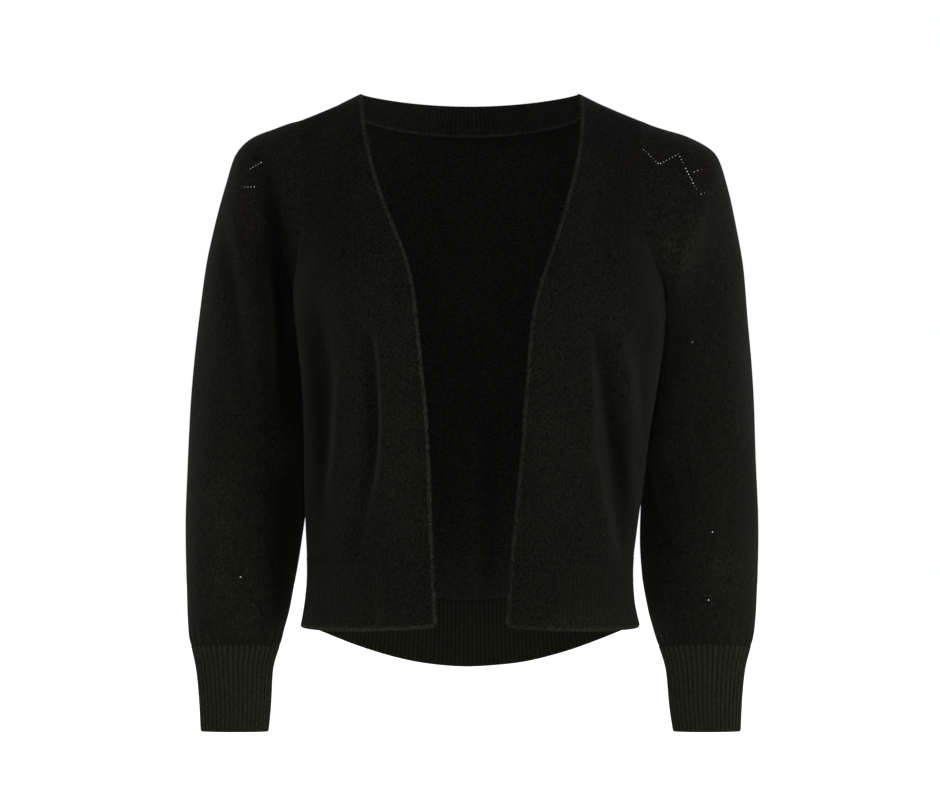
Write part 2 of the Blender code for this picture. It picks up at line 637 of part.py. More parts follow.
def neck_band_seam(side, turns):
    """Points of the neck seam and the direction that its two walls share."""
    step = 1e-3
    points = np.stack(neck_seam(turns), axis=-1) * (side, 1, 1)
    top = neck_top(side, turns)
    ahead = np.stack(neck_seam(np.minimum(turns + step, 1)), axis=-1)
    behind = np.stack(neck_seam(np.maximum(turns - step, 0)), axis=-1)
    tangent = unit(ahead - behind) * (side, 1, 1)
    below = grid(back_row, side, [0.06], turns * NECK_SHARE)[0]
    downward = unit(unit(points - top) + unit(below - points))
    shared = unit(np.cross(tangent, downward))
    shared *= np.where(np.sum(shared * (points - (0, 0, -0.10)), axis=1) > 0, 1, -1)[:, None]
    ridge = ridge_direction() * (side, 1, 1)
    share = ease((turns - 0.8) / 0.2)[:, None]
    shared = unit(shared * (1 - share) + ridge * share)
    shared[turns == 0, 0] = 0
    return points, unit(shared)


def between(along, turns):
    """Values on the straight runs between evenly spaced ones, so that both walls of a seam match."""
    knots = np.linspace(0, 1, len(along))
    return np.stack([np.interp(turns, knots, along[:, axis]) for axis in range(3)], axis=1)


def neck_top(side, turns):
    """The free upper edge of the neck band."""
    angle = turns * math.pi / 2
    x = side * NECK_HALF_WIDTH * np.sin(angle)
    return np.stack([x, NECK_TOP_DEPTH * np.cos(angle), -NECK_TOP_DROP * np.cos(angle) ** 2.2], axis=-1)


def make_neck_band(collection):
    """The ribbed band round the back of the neck, from shoulder seam to shoulder seam."""
    half_length = 1.15 * math.pi / 4 * (NECK_HALF_WIDTH + NECK_SEAM_DEPTH)
    half_columns = 2 * round(half_length / NECK_RIB_PITCH)
    turns = np.linspace(0, 1, half_columns + 1)
    knots = np.linspace(0, 1, NECK_COLUMNS + 1)
    halves = []
    for side in (LEFT, RIGHT):
        seam, shared = (between(along, turns) for along in neck_band_seam(side, knots))
        top = neck_top(side, turns)
        upward = unit(top - seam)
        rows = np.stack([top, seam + upward * SEAM_GAP])
        directions = np.stack([shared, shared])
        outer = rows + directions * rib_profile(half_columns + 1)[None, :, None]
        inner = rows - directions * WALL
        for skin in (outer, inner):
            skin[:, -1, 1] = HALF_GAP
        halves.append((outer, inner))
    outer, inner = (np.concatenate((halves[0][n][:, :0:-1], halves[1][n]), axis=1) for n in range(2))
    material = yarn("neck_band", (0.0060, 0.0058, 0.0055), 0.94)
    return wall(collection, "neck_band", outer, inner, material)


def make_hem_front(collection, side):
    """The ribbed hem of a front, from the facing to the side seam."""
    name = f"hem_rib_front_{name_of(side)}"
    downs = np.linspace(RIB_TOP, 2, HEM_ROWS + 1)
    line = front_row(side, 1.9, np.linspace(0, 1, 80))
    length = np.sum(np.linalg.norm(np.diff(line, axis=0), axis=1))
    columns = 2 * round((length - FACING_WIDTH) / HEM_RIB_PITCH)
    acrosses = []
    for down in downs:
        row = front_row(side, down, np.linspace(0, 1, 80))
        row_length = np.sum(np.linalg.norm(np.diff(row, axis=0), axis=1))
        start = (FACING_WIDTH + SEAM_GAP) / row_length
        acrosses.append(np.linspace(start, 1, columns + 1))
    points = grid(front_row, side, downs, acrosses)
    directions = normals(front_row, side, downs, acrosses, -1)
    points += directions * fold_heights(f"front_{name_of(side)}", points, directions[..., 1])[..., None]
    directions[:, -1, 1] = 0
    directions = unit(directions)
    directions[0], directions[-1] = level(directions[0]), level(directions[-1])
    outer = points + directions * rib_profile(columns + 1)[None, :, None]
    inner = points - directions * WALL
    for skin in (outer, inner):
        skin[:, -1, 1] = -HALF_GAP
        skin[0, :, 2] -= SEAM_GAP
    material = yarn(name, (0.0078, 0.0076, 0.0066), 0.94)
    return wall(collection, name, outer, inner, material)


def make_hem_back(collection):
    """The ribbed hem of the back, from side seam to side seam."""
    downs = np.linspace(RIB_TOP, 2, HEM_ROWS + 1)
    halves = []
    for side in (LEFT, RIGHT):
        line = back_row(side, 1.9, np.linspace(0, 1, 80))
        length = np.sum(np.linalg.norm(np.diff(line, axis=0), axis=1))
        columns = 2 * round(length / HEM_RIB_PITCH)
        acrosses = np.linspace(0, 1, columns + 1)
        points = grid(back_row, side, downs, acrosses)
        directions = normals(back_row, side, downs, acrosses, 1)
        directions[:, 0, 0] = 0
        directions[:, -1, 1] = 0
        directions = unit(directions)
        points += directions * fold_heights("back", points, directions[..., 1])[..., None]
        directions[0], directions[-1] = level(directions[0]), level(directions[-1])
        outer = points + directions * rib_profile(columns + 1)[None, :, None]
        inner = points - directions * WALL
        for skin in (outer, inner):
            skin[:, -1, 1] = HALF_GAP
            skin[0, :, 2] -= HALF_GAP
        halves.append((outer, inner))
    outer, inner = (np.concatenate((halves[0][n][:, :0:-1], halves[1][n]), axis=1) for n in range(2))
    material = yarn("hem_rib_back", (0.0078, 0.0076, 0.0066), 0.94)
    return wall(collection, "hem_rib_back", outer, inner, material)


def make_sleeve(collection, side):
    """A full sleeve, from the armhole seam to the cuff."""
    name = f"sleeve_{name_of(side)}"
    points = np.stack([sleeve_ring(side, number, SLEEVE_ANGLES) for number in SLEEVE_NUMBERS])
    directions = np.stack([sleeve_normals(side, number, SLEEVE_ANGLES) for number in SLEEVE_NUMBERS])
    from_seam = ease(SLEEVE_NUMBERS / FOLD_START_RING)[:, None, None]
    points += from_seam * directions * fold_heights(name, points, directions[..., 1])[..., None]
    seam, shared, into = armhole_seam(side, SLEEVE_ANGLES)
    points[0] = seam + into * SEAM_GAP
    directions[0] = shared
    directions[-1] = level(directions[-1])
    inner = points - directions * WALL
    for skin in (points, inner):
        skin[-1, :, 2] += HALF_GAP
    material = yarn(name, (0.0082, 0.0080, 0.0068), 0.92)
    return wall(collection, name, points, inner, material, closed=True)


def make_cuff(collection, side):
    """A ribbed cuff."""
    name = f"cuff_{name_of(side)}"
    angles = np.linspace(0, 2 * math.pi, 720, endpoint=False)
    numbers = np.linspace(CUFF_RING, LAST_RING, CUFF_ROWS + 1)
    columns = 2 * CUFF_RIBS
    rows, directions = [], []
    for number in numbers:
        ring = sleeve_ring(side, number, angles)
        loop = np.concatenate((ring, ring[:1]))
        lengths = np.concatenate(([0.0], np.cumsum(np.linalg.norm(np.diff(loop, axis=0), axis=1))))
        places = np.linspace(0, lengths[-1], columns, endpoint=False)
        even = np.interp(places, lengths, np.append(angles, 2 * math.pi))
        rows.append(sleeve_ring(side, number, even))
        directions.append(level(sleeve_normals(side, number, even)))
    points, directions = np.stack(rows), np.stack(directions)
    outer = points + directions * rib_profile(columns)[None, :, None]
    inner = points - directions * WALL
    for skin in (outer, inner):
        skin[0, :, 2] -= HALF_GAP
    material = yarn(name, (0.0086, 0.0084, 0.0072), 0.94)
    return wall(collection, name, outer, inner, material, closed=True)


def main():
    for old in list(bpy.data.objects):
        bpy.data.objects.remove(old, do_unlink=True)
    collection = new_collection(COLLECTION)
    make_back(collection)
    make_neck_band(collection)
    make_hem_back(collection)
    for side in (LEFT, RIGHT):
        make_front(collection, side)
        make_hem_front(collection, side)
        make_sleeve(collection, side)
        make_cuff(collection, side)


main()
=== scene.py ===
# %% [markdown]
# # A knitted shrug
#
# This notebook models an open-fronted, cropped, fine-knit shrug in black yarn. It hangs filled out, as if a
# wearer had just stepped out of it, so its inside shows as much as its outside. It has a back, two fronts
# that don't meet, full sleeves with small openwork eyelets, deep ribbed cuffs and hem, and a ribbed band
# round the back of the neck.
#
# Everything is in metres, with +Z up and the front towards -Y. Left and right are as seen from the front, so
# left is -X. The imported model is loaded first: it is the frame that every piece has to fit.

import math
from collections import namedtuple

import bpy
import numpy as np
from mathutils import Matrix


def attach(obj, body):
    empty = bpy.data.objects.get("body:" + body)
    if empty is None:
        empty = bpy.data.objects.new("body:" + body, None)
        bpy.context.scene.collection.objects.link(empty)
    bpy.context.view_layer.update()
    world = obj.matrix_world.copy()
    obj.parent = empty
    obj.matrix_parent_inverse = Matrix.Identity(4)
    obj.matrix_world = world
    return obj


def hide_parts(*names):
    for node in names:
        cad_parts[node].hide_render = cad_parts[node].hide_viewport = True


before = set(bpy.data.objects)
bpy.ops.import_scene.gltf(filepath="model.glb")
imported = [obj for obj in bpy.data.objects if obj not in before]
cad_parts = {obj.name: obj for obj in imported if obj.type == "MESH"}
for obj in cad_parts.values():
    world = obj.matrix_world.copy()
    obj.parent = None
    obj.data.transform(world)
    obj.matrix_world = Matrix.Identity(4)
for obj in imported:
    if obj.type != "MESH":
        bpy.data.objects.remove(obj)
bpy.ops.object.select_all(action="DESELECT")
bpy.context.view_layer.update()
LEFT, RIGHT = -1, 1
FRONT, BACK = -1, 1  # the sign of Y that a face looks along

# %% [markdown]
# ## The camera
#
# A garment is usually seen through a long lens from straight in front, because that keeps its two sides
# alike and its edges parallel. A short lens close by would swell the chest and shrink the sleeves. The camera
# stands 3 m away at half the garment's height, and its lens is worked out from the width that it has to see.

# %% The camera
CAMERA_DISTANCE = 3.0
CAMERA_HEIGHT = -0.285
VIEW_WIDTH = 0.893  # what the camera sees, side to side, at the shoulder line

bpy.ops.object.camera_add(location=(0, -CAMERA_DISTANCE, CAMERA_HEIGHT), rotation=(math.pi / 2, 0, 0))
camera = bpy.context.object
camera.name = "camera"
camera.data.sensor_width = 36
camera.data.lens = camera.data.sensor_width * CAMERA_DISTANCE / VIEW_WIDTH
bpy.context.scene.camera = camera
print(f"lens {camera.data.lens:.1f} mm")

# %% [markdown]
# ## Studio
#
# Black knitwear swallows light, so most of it comes softly from all round, and four large soft boxes only
# give it form. One stands at each side, the right one stronger: they brighten the outer sides of the sleeves
# and leave the furrows beside the body dark. A weak one above the front brings up the chest, and another
# behind draws the outline of the back. A small hard lamp would only make sparkle on the yarn. The surround
# and the floor are white to the camera but light the cloth only gently. The view transform is Standard, so
# that white stays white and the blacks keep their depth.

# %% Studio
FLOOR_Z = -1.0
GARMENT_MIDDLE = (0, 0, -0.33)
SOFTBOX_SIZE = 1.6
SURROUND = 1.0  # the white that the camera sees
AMBIENT = 0.33  # how strongly the surround lights the cloth
FLOOR_GLOW = 0.18  # how strongly the floor lights it


def softbox(name, place, watts):
    """A large square lamp at a place, facing the middle of the garment."""
    bpy.ops.object.light_add(type="AREA", location=place)
    lamp = bpy.context.object
    lamp.name = name
    lamp.data.shape = "SQUARE"
    lamp.data.size = SOFTBOX_SIZE
    lamp.data.energy = watts
    aim = np.array(GARMENT_MIDDLE) - np.array(place)
    level_reach = math.hypot(aim[0], aim[1])
    lamp.rotation_euler = (math.atan2(level_reach, -aim[2]), 0, math.atan2(-aim[0], aim[1]))
    lamp.visible_camera = False


softbox("right_softbox", (2.68, -1.55, -0.45), 26)
softbox("left_softbox", (-2.91, -1.06, -0.65), 14)
softbox("front_softbox", (0.0, -2.0, 2.05), 8)
softbox("back_softbox", (0.3, 3.0, 1.6), 10)

world = bpy.data.worlds.new("white_surround")
world.use_nodes = True
links = world.node_tree.links
seen = world.node_tree.nodes["Background"]
seen.inputs["Color"].default_value = (1, 1, 1, 1)
seen.inputs["Strength"].default_value = SURROUND
lighting = world.node_tree.nodes.new("ShaderNodeBackground")
lighting.inputs["Color"].default_value = (1, 1, 1, 1)
lighting.inputs["Strength"].default_value = AMBIENT
path = world.node_tree.nodes.new("ShaderNodeLightPath")
choice = world.node_tree.nodes.new("ShaderNodeMixShader")
links.new(path.outputs["Is Camera Ray"], choice.inputs[0])
links.new(lighting.outputs[0], choice.inputs[1])
links.new(seen.outputs[0], choice.inputs[2])
links.new(choice.outputs[0], world.node_tree.nodes["World Output"].inputs["Surface"])
bpy.context.scene.world = world
bpy.context.scene.view_settings.view_transform = "Standard"

bpy.ops.mesh.primitive_circle_add(vertices=96, radius=9, fill_type="NGON", location=(0, 0, FLOOR_Z))
floor = bpy.context.object
floor.name = "floor"
paint = bpy.data.materials.new("pale_floor")
paint.use_nodes = True
sweep = paint.node_tree.nodes["Principled BSDF"]
sweep.inputs["Base Color"].default_value = (0.95, 0.95, 0.95, 1)
sweep.inputs["Roughness"].default_value = 0.9
sweep.inputs["Emission Color"].default_value = (1, 1, 1, 1)
ray = paint.node_tree.nodes.new("ShaderNodeLightPath")
glow = paint.node_tree.nodes.new("ShaderNodeMapRange")
glow.inputs["To Min"].default_value = FLOOR_GLOW
glow.inputs["To Max"].default_value = 1.0
paint.node_tree.links.new(ray.outputs["Is Camera Ray"], glow.inputs["Value"])
paint.node_tree.links.new(glow.outputs["Result"], sweep.inputs["Emission Strength"])
floor.data.materials.append(paint)
bpy.ops.object.select_all(action="DESELECT")
print("floor at", FLOOR_Z)

# %% [markdown]
# ## Stitches in a shader group
#
# Plain knit (jersey) shows columns of V-shaped stitches on its right side and rows of small bumps on its
# wrong side. A stitch is about 1.6 mm wide, far too small to model over a whole garment, so it is worked out
# in the shader, where it costs no faces. An image could be tiled instead, but a formula stays sharp at any
# distance. Both groups read the piece's own UV map, which is in metres along the cloth, so the columns of
# stitches follow the piece round every fold.

# %% Stitch groups
FLOAT, VECTOR = "NodeSocketFloat", "NodeSocketVector"


def new_group(name, inputs, outputs):
    """An empty shader node group with named sockets."""
    group = bpy.data.node_groups.new(name, "ShaderNodeTree")
    for label, kind in inputs:
        group.interface.new_socket(label, in_out="INPUT", socket_type=kind)
    for label in outputs:
        group.interface.new_socket(label, in_out="OUTPUT", socket_type=FLOAT)
    return group, group.nodes.new("NodeGroupInput"), group.nodes.new("NodeGroupOutput")


class Value:
    """A number that nodes work out; arithmetic on it adds Math nodes to its tree."""

    def __init__(self, socket):
        self.socket = socket
        self.tree = socket.id_data

    def math(self, operation, *others):
        node = self.tree.nodes.new("ShaderNodeMath")
        node.operation = operation
        for place, value in zip(node.inputs, (self, *others)):
            if isinstance(value, Value):
                self.tree.links.new(value.socket, place)
            else:
                place.default_value = value
        return Value(node.outputs[0])

    def __add__(self, other):
        return self.math("ADD", other)

    def __sub__(self, other):
        return self.math("SUBTRACT", other)

    def __mul__(self, other):
        return self.math("MULTIPLY", other)

    def __truediv__(self, other):
        return self.math("DIVIDE", other)

    def feed(self, place):
        self.tree.links.new(self.socket, place)


def half_wave(value):
    """A bump from 0 to 1 and back over each whole number."""
    return (value.math("FRACT") * math.pi).math("SINE")


def new_stitches(name):
    """A group for one kind of stitch, and how many stitches across and down a point lies."""
    sockets = [("Cloth", VECTOR), ("Stitch Width", FLOAT), ("Stitch Height", FLOAT)]
    group, given, made = new_group(name, sockets, ("Height", "Hollow", "Stitch Tone"))
    split = group.nodes.new("ShaderNodeSeparateXYZ")
    group.links.new(given.outputs["Cloth"], split.inputs[0])
    across = Value(split.outputs["X"]) / Value(given.outputs["Stitch Width"])
    down = Value(split.outputs["Y"]) / Value(given.outputs["Stitch Height"])
    return group, made, across, down


def give_stitches(group, made, height, column, row):
    """The results: the yarn's height, how deep a point lies between the yarns, and a tone for each leg."""
    place = group.nodes.new("ShaderNodeCombineXYZ")
    column.math("FLOOR").feed(place.inputs[0])
    row.math("FLOOR").feed(place.inputs[1])
    chance = group.nodes.new("ShaderNodeTexWhiteNoise")
    chance.noise_dimensions = "2D"
    group.links.new(place.outputs[0], chance.inputs["Vector"])
    height.feed(made.inputs["Height"])
    (height * -1.0 + 1.0).feed(made.inputs["Hollow"])
    Value(chance.outputs["Value"]).feed(made.inputs["Stitch Tone"])
    return group


def make_plain_stitches():
    """The right side: every column is a stack of V shapes, two slanting legs of yarn."""
    group, made, across, down = new_stitches("plain_stitches")
    out = (across.math("FRACT") - 0.5).math("ABSOLUTE") * 2.0
    slanted = down + out * 0.8
    height = (half_wave(slanted) * (out * math.pi).math("SINE")).math("SQRT")
    return give_stitches(group, made, height, across * 2.0, slanted)


def make_purl_stitches():
    """The wrong side: rows of short bumps, each row half a stitch along from the next."""
    group, made, across, down = new_stitches("purl_stitches")
    shifted = across + down.math("FLOOR") * 0.5
    height = (half_wave(shifted) * half_wave(down)).math("SQRT")
    return give_stitches(group, made, height, shifted, down)


plain_stitches = make_plain_stitches()
purl_stitches = make_purl_stitches()
print("groups:", plain_stitches.name, purl_stitches.name)

# %% [markdown]
# ## Yarn
#
# The yarn is a matte viscose blend: near black, a little olive, with a soft haze of fibre ends. Four things
# keep it from looking like paint. Every stitch has a tone of its own, because the yarn is twisted from darker
# and paler fibres. The tone also drifts slowly over the cloth, as dye and handling leave it. Towards the
# shoulders the black is darker and a little plum. And a weak sheen in the shader lights the fibre ends where
# the cloth turns away. The drift, the plum shoulders and a fine grain are one group, which every piece shares.

# %% Yarn group
PLUM_FROM, PLUM_TO = -0.26, -0.04  # heights between which the black turns darker and plum
PLUM_PATCHES, PLUM_PATCHINESS = 9.0, 2.6  # patches a metre, and how uneven they make the plum
LONG_DRIFT, SHORT_DRIFT, SHORT_SHARE = 14.0, 80.0, 0.3  # patches a metre, and the share of the small ones
GRAIN_SCALE = 1600.0


def noise(tree, vector, scale, detail):
    """A noise texture's value at a place."""
    node = tree.nodes.new("ShaderNodeTexNoise")
    node.inputs["Scale"].default_value = scale
    node.inputs["Detail"].default_value = detail
    tree.links.new(vector, node.inputs["Vector"])
    return Value(node.outputs["Fac"])


def make_yarn():
    """Drift is a slow tone, Grain a fine one for tone and bump, and Plum Tone says how plum the black is."""
    group, given, made = new_group("yarn", [("Place", VECTOR)], ("Drift", "Grain", "Plum Tone"))
    place = given.outputs["Place"]
    drift = noise(group, place, LONG_DRIFT, 2.0) * (1 - SHORT_SHARE)
    drift += noise(group, place, SHORT_DRIFT, 2.0) * SHORT_SHARE
    split = group.nodes.new("ShaderNodeSeparateXYZ")
    group.links.new(place, split.inputs[0])
    rise = (Value(split.outputs["Z"]) - PLUM_FROM) / (PLUM_TO - PLUM_FROM)
    cloudy = (noise(group, place, PLUM_PATCHES, 2.0) - 0.5) * PLUM_PATCHINESS
    plum_tone = ((rise.math("MINIMUM", 1.0) + cloudy) * 0.7).math("MAXIMUM", 0.0).math("MINIMUM", 1.0)
    drift.feed(made.inputs["Drift"])
    noise(group, place, GRAIN_SCALE, 1.0).feed(made.inputs["Grain"])
    plum_tone.feed(made.inputs["Plum Tone"])
    return group


yarn = make_yarn()
print("group:", yarn.name)

# %% [markdown]
# ## Knit materials
#
# One function makes every knit material, with the values that differ between pieces: how light the yarn is,
# which face of the stitch shows, its size, its relief in metres, and how speckled it is. Colour is darker at
# seams, and darker between the yarns, which is painted shade; the thin yarn round an eyelet carries painted
# light. Three attributes that each piece carries say where its seams and eyelets are and how much painted
# shade and painted light lie in rib furrows, in creases and on rolled edges, so a line of sewing lies exactly
# where two pieces meet. Numbers that are the same all over go on the shader.

# %% Knit materials
STITCH_WIDTH = 0.0016
STITCH_HEIGHT = 0.0012
RIB_STITCH_WIDTH = 0.0014
SEAM_REACH = 0.0020
DRIFT = 0.25  # how far the tone drifts over the cloth
ON_YARN, HOLLOW_DARKER = 1.15, 0.6  # the tone on top of a stitch, and the painted shade between stitches
ROUGH, ROUGHER = 0.80, 0.22  # the least roughness, and what the grain adds
GRAIN_RELIEF, SEAM_RELIEF = 0.9, -3.0  # in the height of a stitch
SPECULAR = 0.06
SHEEN, SHEEN_ROUGHNESS, SHEEN_TINT = 0.065, 0.35, (1.0, 0.98, 0.90, 1)
BLACK_DYE = (0.0100, 0.0101, 0.0063)
SHOULDER_DYE = (0.0070, 0.0062, 0.0064)
INSIDE_DYE = (0.0096, 0.0100, 0.0088)  # the inside's yarn, a little greyer and less olive
# painted light on the thin yarn round an eyelet
EYELET_PAINTED_LIGHT = (0.050, 0.047, 0.040)


def attribute(tree, name):
    node = tree.nodes.new("ShaderNodeAttribute")
    node.attribute_name = name
    return Value(node.outputs["Fac"])


def blend_colours(tree, factor, first, second):
    """Two colours mixed; each is a socket or three numbers."""
    node = tree.nodes.new("ShaderNodeMix")
    node.data_type = "RGBA"
    factor.feed(node.inputs["Factor"])
    for label, value in (("A", first), ("B", second)):
        if isinstance(value, tuple):
            node.inputs[label].default_value = (*value, 1)
        else:
            tree.links.new(value, node.inputs[label])
    return node.outputs["Result"]


def times(tree, colour, share):
    """A colour times a number."""
    node = tree.nodes.new("ShaderNodeVectorMath")
    node.operation = "SCALE"
    tree.links.new(colour, node.inputs[0])
    share.feed(node.inputs["Scale"])
    return node.outputs[0]


def near_seam(tree):
    """1 on a seam, falling smoothly to 0 at a short distance from it."""
    node = tree.nodes.new("ShaderNodeMapRange")
    node.interpolation_type = "SMOOTHSTEP"
    node.inputs["From Max"].default_value = SEAM_REACH
    node.inputs["To Min"].default_value = 1.0
    node.inputs["To Max"].default_value = 0.0
    attribute(tree, "seam").feed(node.inputs["Value"])
    return Value(node.outputs["Result"])


def around_one(value, swing):
    """A value from 0 to 1 turned into one from 1 - swing to 1 + swing."""
    return value * (2 * swing) + (1 - swing)


def knit(name, lightness, stitches, width, relief, seam_depth=0.2, speckle=0.6, dye=BLACK_DYE):
    """A knit material; lightness multiplies the dye and speckle is how far the stitches differ."""
    material = bpy.data.materials.new(name)
    material.use_nodes = True
    tree = material.node_tree
    shader = tree.nodes["Principled BSDF"]
    cloth = tree.nodes.new("ShaderNodeUVMap")
    cloth.uv_map = "cloth"
    stitch = tree.nodes.new("ShaderNodeGroup")
    stitch.node_tree = stitches
    tree.links.new(cloth.outputs["UV"], stitch.inputs["Cloth"])
    stitch.inputs["Stitch Width"].default_value = width
    stitch.inputs["Stitch Height"].default_value = STITCH_HEIGHT
    yarns = tree.nodes.new("ShaderNodeGroup")
    yarns.node_tree = yarn
    tree.links.new(tree.nodes.new("ShaderNodeTexCoord").outputs["Object"], yarns.inputs["Place"])
    grain = Value(yarns.outputs["Grain"])

    seam = near_seam(tree)
    tone = around_one(Value(stitch.outputs["Stitch Tone"]), speckle) * lightness
    tone *= around_one(Value(yarns.outputs["Drift"]), DRIFT)
    tone *= around_one(grain, speckle)
    # Painted shade and painted light that each piece carries: rib furrows, creases, rolled edges, the neck
    # seam.
    tone *= attribute(tree, "shade") + 1.0
    # Painted shade between the stitches.
    tone *= Value(stitch.outputs["Hollow"]) * -HOLLOW_DARKER + ON_YARN
    tone *= seam * -seam_depth + 1.0
    plum_tone = SHOULDER_DYE if dye == BLACK_DYE else dye
    colour = times(tree, blend_colours(tree, Value(yarns.outputs["Plum Tone"]), dye, plum_tone), tone)
    # Painted light on the thin yarn round the eyelets.
    colour = blend_colours(tree, attribute(tree, "openwork"), colour, EYELET_PAINTED_LIGHT)
    tree.links.new(colour, shader.inputs["Base Color"])

    (grain * ROUGHER + ROUGH).feed(shader.inputs["Roughness"])
    bump = tree.nodes.new("ShaderNodeBump")
    bump.inputs["Strength"].default_value = 1.0
    bump.inputs["Distance"].default_value = relief
    height = grain * GRAIN_RELIEF + Value(stitch.outputs["Height"]) + seam * (SEAM_RELIEF * seam_depth)
    height.feed(bump.inputs["Height"])
    tree.links.new(bump.outputs["Normal"], shader.inputs["Normal"])

    shader.inputs["Specular IOR Level"].default_value = SPECULAR
    shader.inputs["Sheen Weight"].default_value = SHEEN
    shader.inputs["Sheen Roughness"].default_value = SHEEN_ROUGHNESS
    shader.inputs["Sheen Tint"].default_value = SHEEN_TINT
    return material


# The insides of the body, neck band and hems are painted paler than their outsides: painted light that stands
# in for the light reaching the inside of the garment.
body_outside = knit("black_jersey", 1.0, plain_stitches, STITCH_WIDTH, 0.00016, 0.12, 0.85)
body_inside = knit("black_jersey_inside", 1.84, purl_stitches, STITCH_WIDTH, 0.00010, 0.2, 0.42, INSIDE_DYE)
sleeve_outside = knit("black_pointelle", 1.20, plain_stitches, STITCH_WIDTH, 0.00016, 0.12, 0.80)
sleeve_inside = knit("black_pointelle_inside", 1.0, purl_stitches, STITCH_WIDTH, 0.00014)
cuff_rib = knit("black_cuff_rib", 2.50, plain_stitches, RIB_STITCH_WIDTH, 0.00012, 0.35, 0.40)
hem_rib = knit("black_hem_rib", 1.22, plain_stitches, RIB_STITCH_WIDTH, 0.00012, 0.10, 0.60)
neck_rib_inside = knit("black_neck_rib_inside", 2.28, plain_stitches, RIB_STITCH_WIDTH, 0.00012, 0.10, 0.40,
                       INSIDE_DYE)
hem_rib_inside = knit("black_hem_rib_inside", 2.0, plain_stitches, RIB_STITCH_WIDTH, 0.00012, 0.0, 0.40)
print("materials:", [material.name for material in bpy.data.materials if material.name.startswith("black")])

# %% [markdown]
# ## The garment's sizes
#
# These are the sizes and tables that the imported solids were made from, because the cloth has to lie on them.
# Only two differ a little: at the chest the front edges lie up to 4 mm further out, and under the arms the
# sleeve's first rings lie 1 to 2 mm away. Each table has few rows and a smooth curve is read through it, which
# is how a pattern cutter grades between measured points. Drawing the outlines point by point would be longer
# and would show every slip.

# %% Garment sizes
CLOTH = 0.0014  # thickness of the fine knit
SECTION_POWER = 2.3  # 2 is an ellipse; a torso is a little squarer

NECK_HALF_WIDTH = 0.1035
NECK_TOP_DEPTH = 0.062
NECK_TOP_DROP = 0.0067
NECK_SEAM_HALF_WIDTH = 0.124
NECK_SEAM_DEPTH = 0.078
NECK_SEAM_DROP = 0.0250
NECK_SHARE = 0.81  # the share of a half back's top row that is neck seam
SHOULDER_X = 0.160
SHOULDER_Z = -0.0249
UNDERARM_Z = -0.195
ARMHOLE_REACH = 0.049
BLADE_DEPTH = 0.1105

SIDE_HEM_Z = -0.5045
FRONT_HEM_RISE = 0.0060
BACK_HEM_DROP = 0.0475
HEM_RIB_HEIGHT = 0.0645
FACING_WIDTH = 0.048
HEM_CORNER = 0.006  # radius of the round corner at the foot of each front

Body = namedtuple("Body", "z left right front back")
BODY = (
    Body(-0.195, 0.1680, 0.1860, 0.1170, 0.1130),
    Body(-0.220, 0.1655, 0.1855, 0.1215, 0.1126),
    Body(-0.255, 0.1620, 0.1815, 0.1245, 0.1095),
    Body(-0.290, 0.1590, 0.1755, 0.1240, 0.1040),
    Body(-0.330, 0.1575, 0.1680, 0.1210, 0.0980),
    Body(-0.370, 0.1570, 0.1635, 0.1170, 0.0942),
    Body(-0.410, 0.1558, 0.1590, 0.1130, 0.0935),
    Body(-0.455, 0.1545, 0.1547, 0.1100, 0.0970),
    Body(-0.480, 0.1565, 0.1560, 0.1105, 0.1005),
    Body(-0.505, 0.1605, 0.1610, 0.1120, 0.1040),
)

Chest = namedtuple("Chest", "z depth")
CHEST = (
    Chest(0.000, 0.0000),
    Chest(-0.003, 0.0095),
    Chest(-0.012, 0.0225),
    Chest(-0.032, 0.0450),
    Chest(-0.060, 0.0665),
    Chest(-0.092, 0.0850),
    Chest(-0.125, 0.0990),
    Chest(-0.160, 0.1095),
) + tuple(Chest(row.z, row.front) for row in BODY)

Edge = namedtuple("Edge", "z left right")
FRONT_EDGE = (
    Edge(0.000, 0.1035, 0.1045),
    Edge(-0.012, 0.1012, 0.1052),
    Edge(-0.032, 0.0990, 0.1044),
    Edge(-0.064, 0.0924, 0.0998),
    Edge(-0.098, 0.0821, 0.0918),
    Edge(-0.126, 0.0712, 0.0834),
    Edge(-0.154, 0.0602, 0.0742),
    Edge(-0.186, 0.0516, 0.0632),
    Edge(-0.218, 0.0479, 0.0560),
    Edge(-0.254, 0.0442, 0.0527),
    Edge(-0.291, 0.0406, 0.0500),
    Edge(-0.327, 0.0378, 0.0474),
    Edge(-0.382, 0.0358, 0.0425),
    Edge(-0.418, 0.0346, 0.0388),
    Edge(-0.455, 0.0327, 0.0361),
    Edge(-0.500, 0.0306, 0.0326),
)

Armhole = namedtuple("Armhole", "way left right")
ARMHOLE = (
    Armhole(0.00, 0.1600, 0.1600),
    Armhole(0.20, 0.1570, 0.1570),
    Armhole(0.40, 0.1560, 0.1575),
    Armhole(0.60, 0.1575, 0.1615),
    Armhole(0.80, 0.1620, 0.1720),
    Armhole(0.93, 0.1665, 0.1830),
    Armhole(1.00, 0.1680, 0.1860),
)

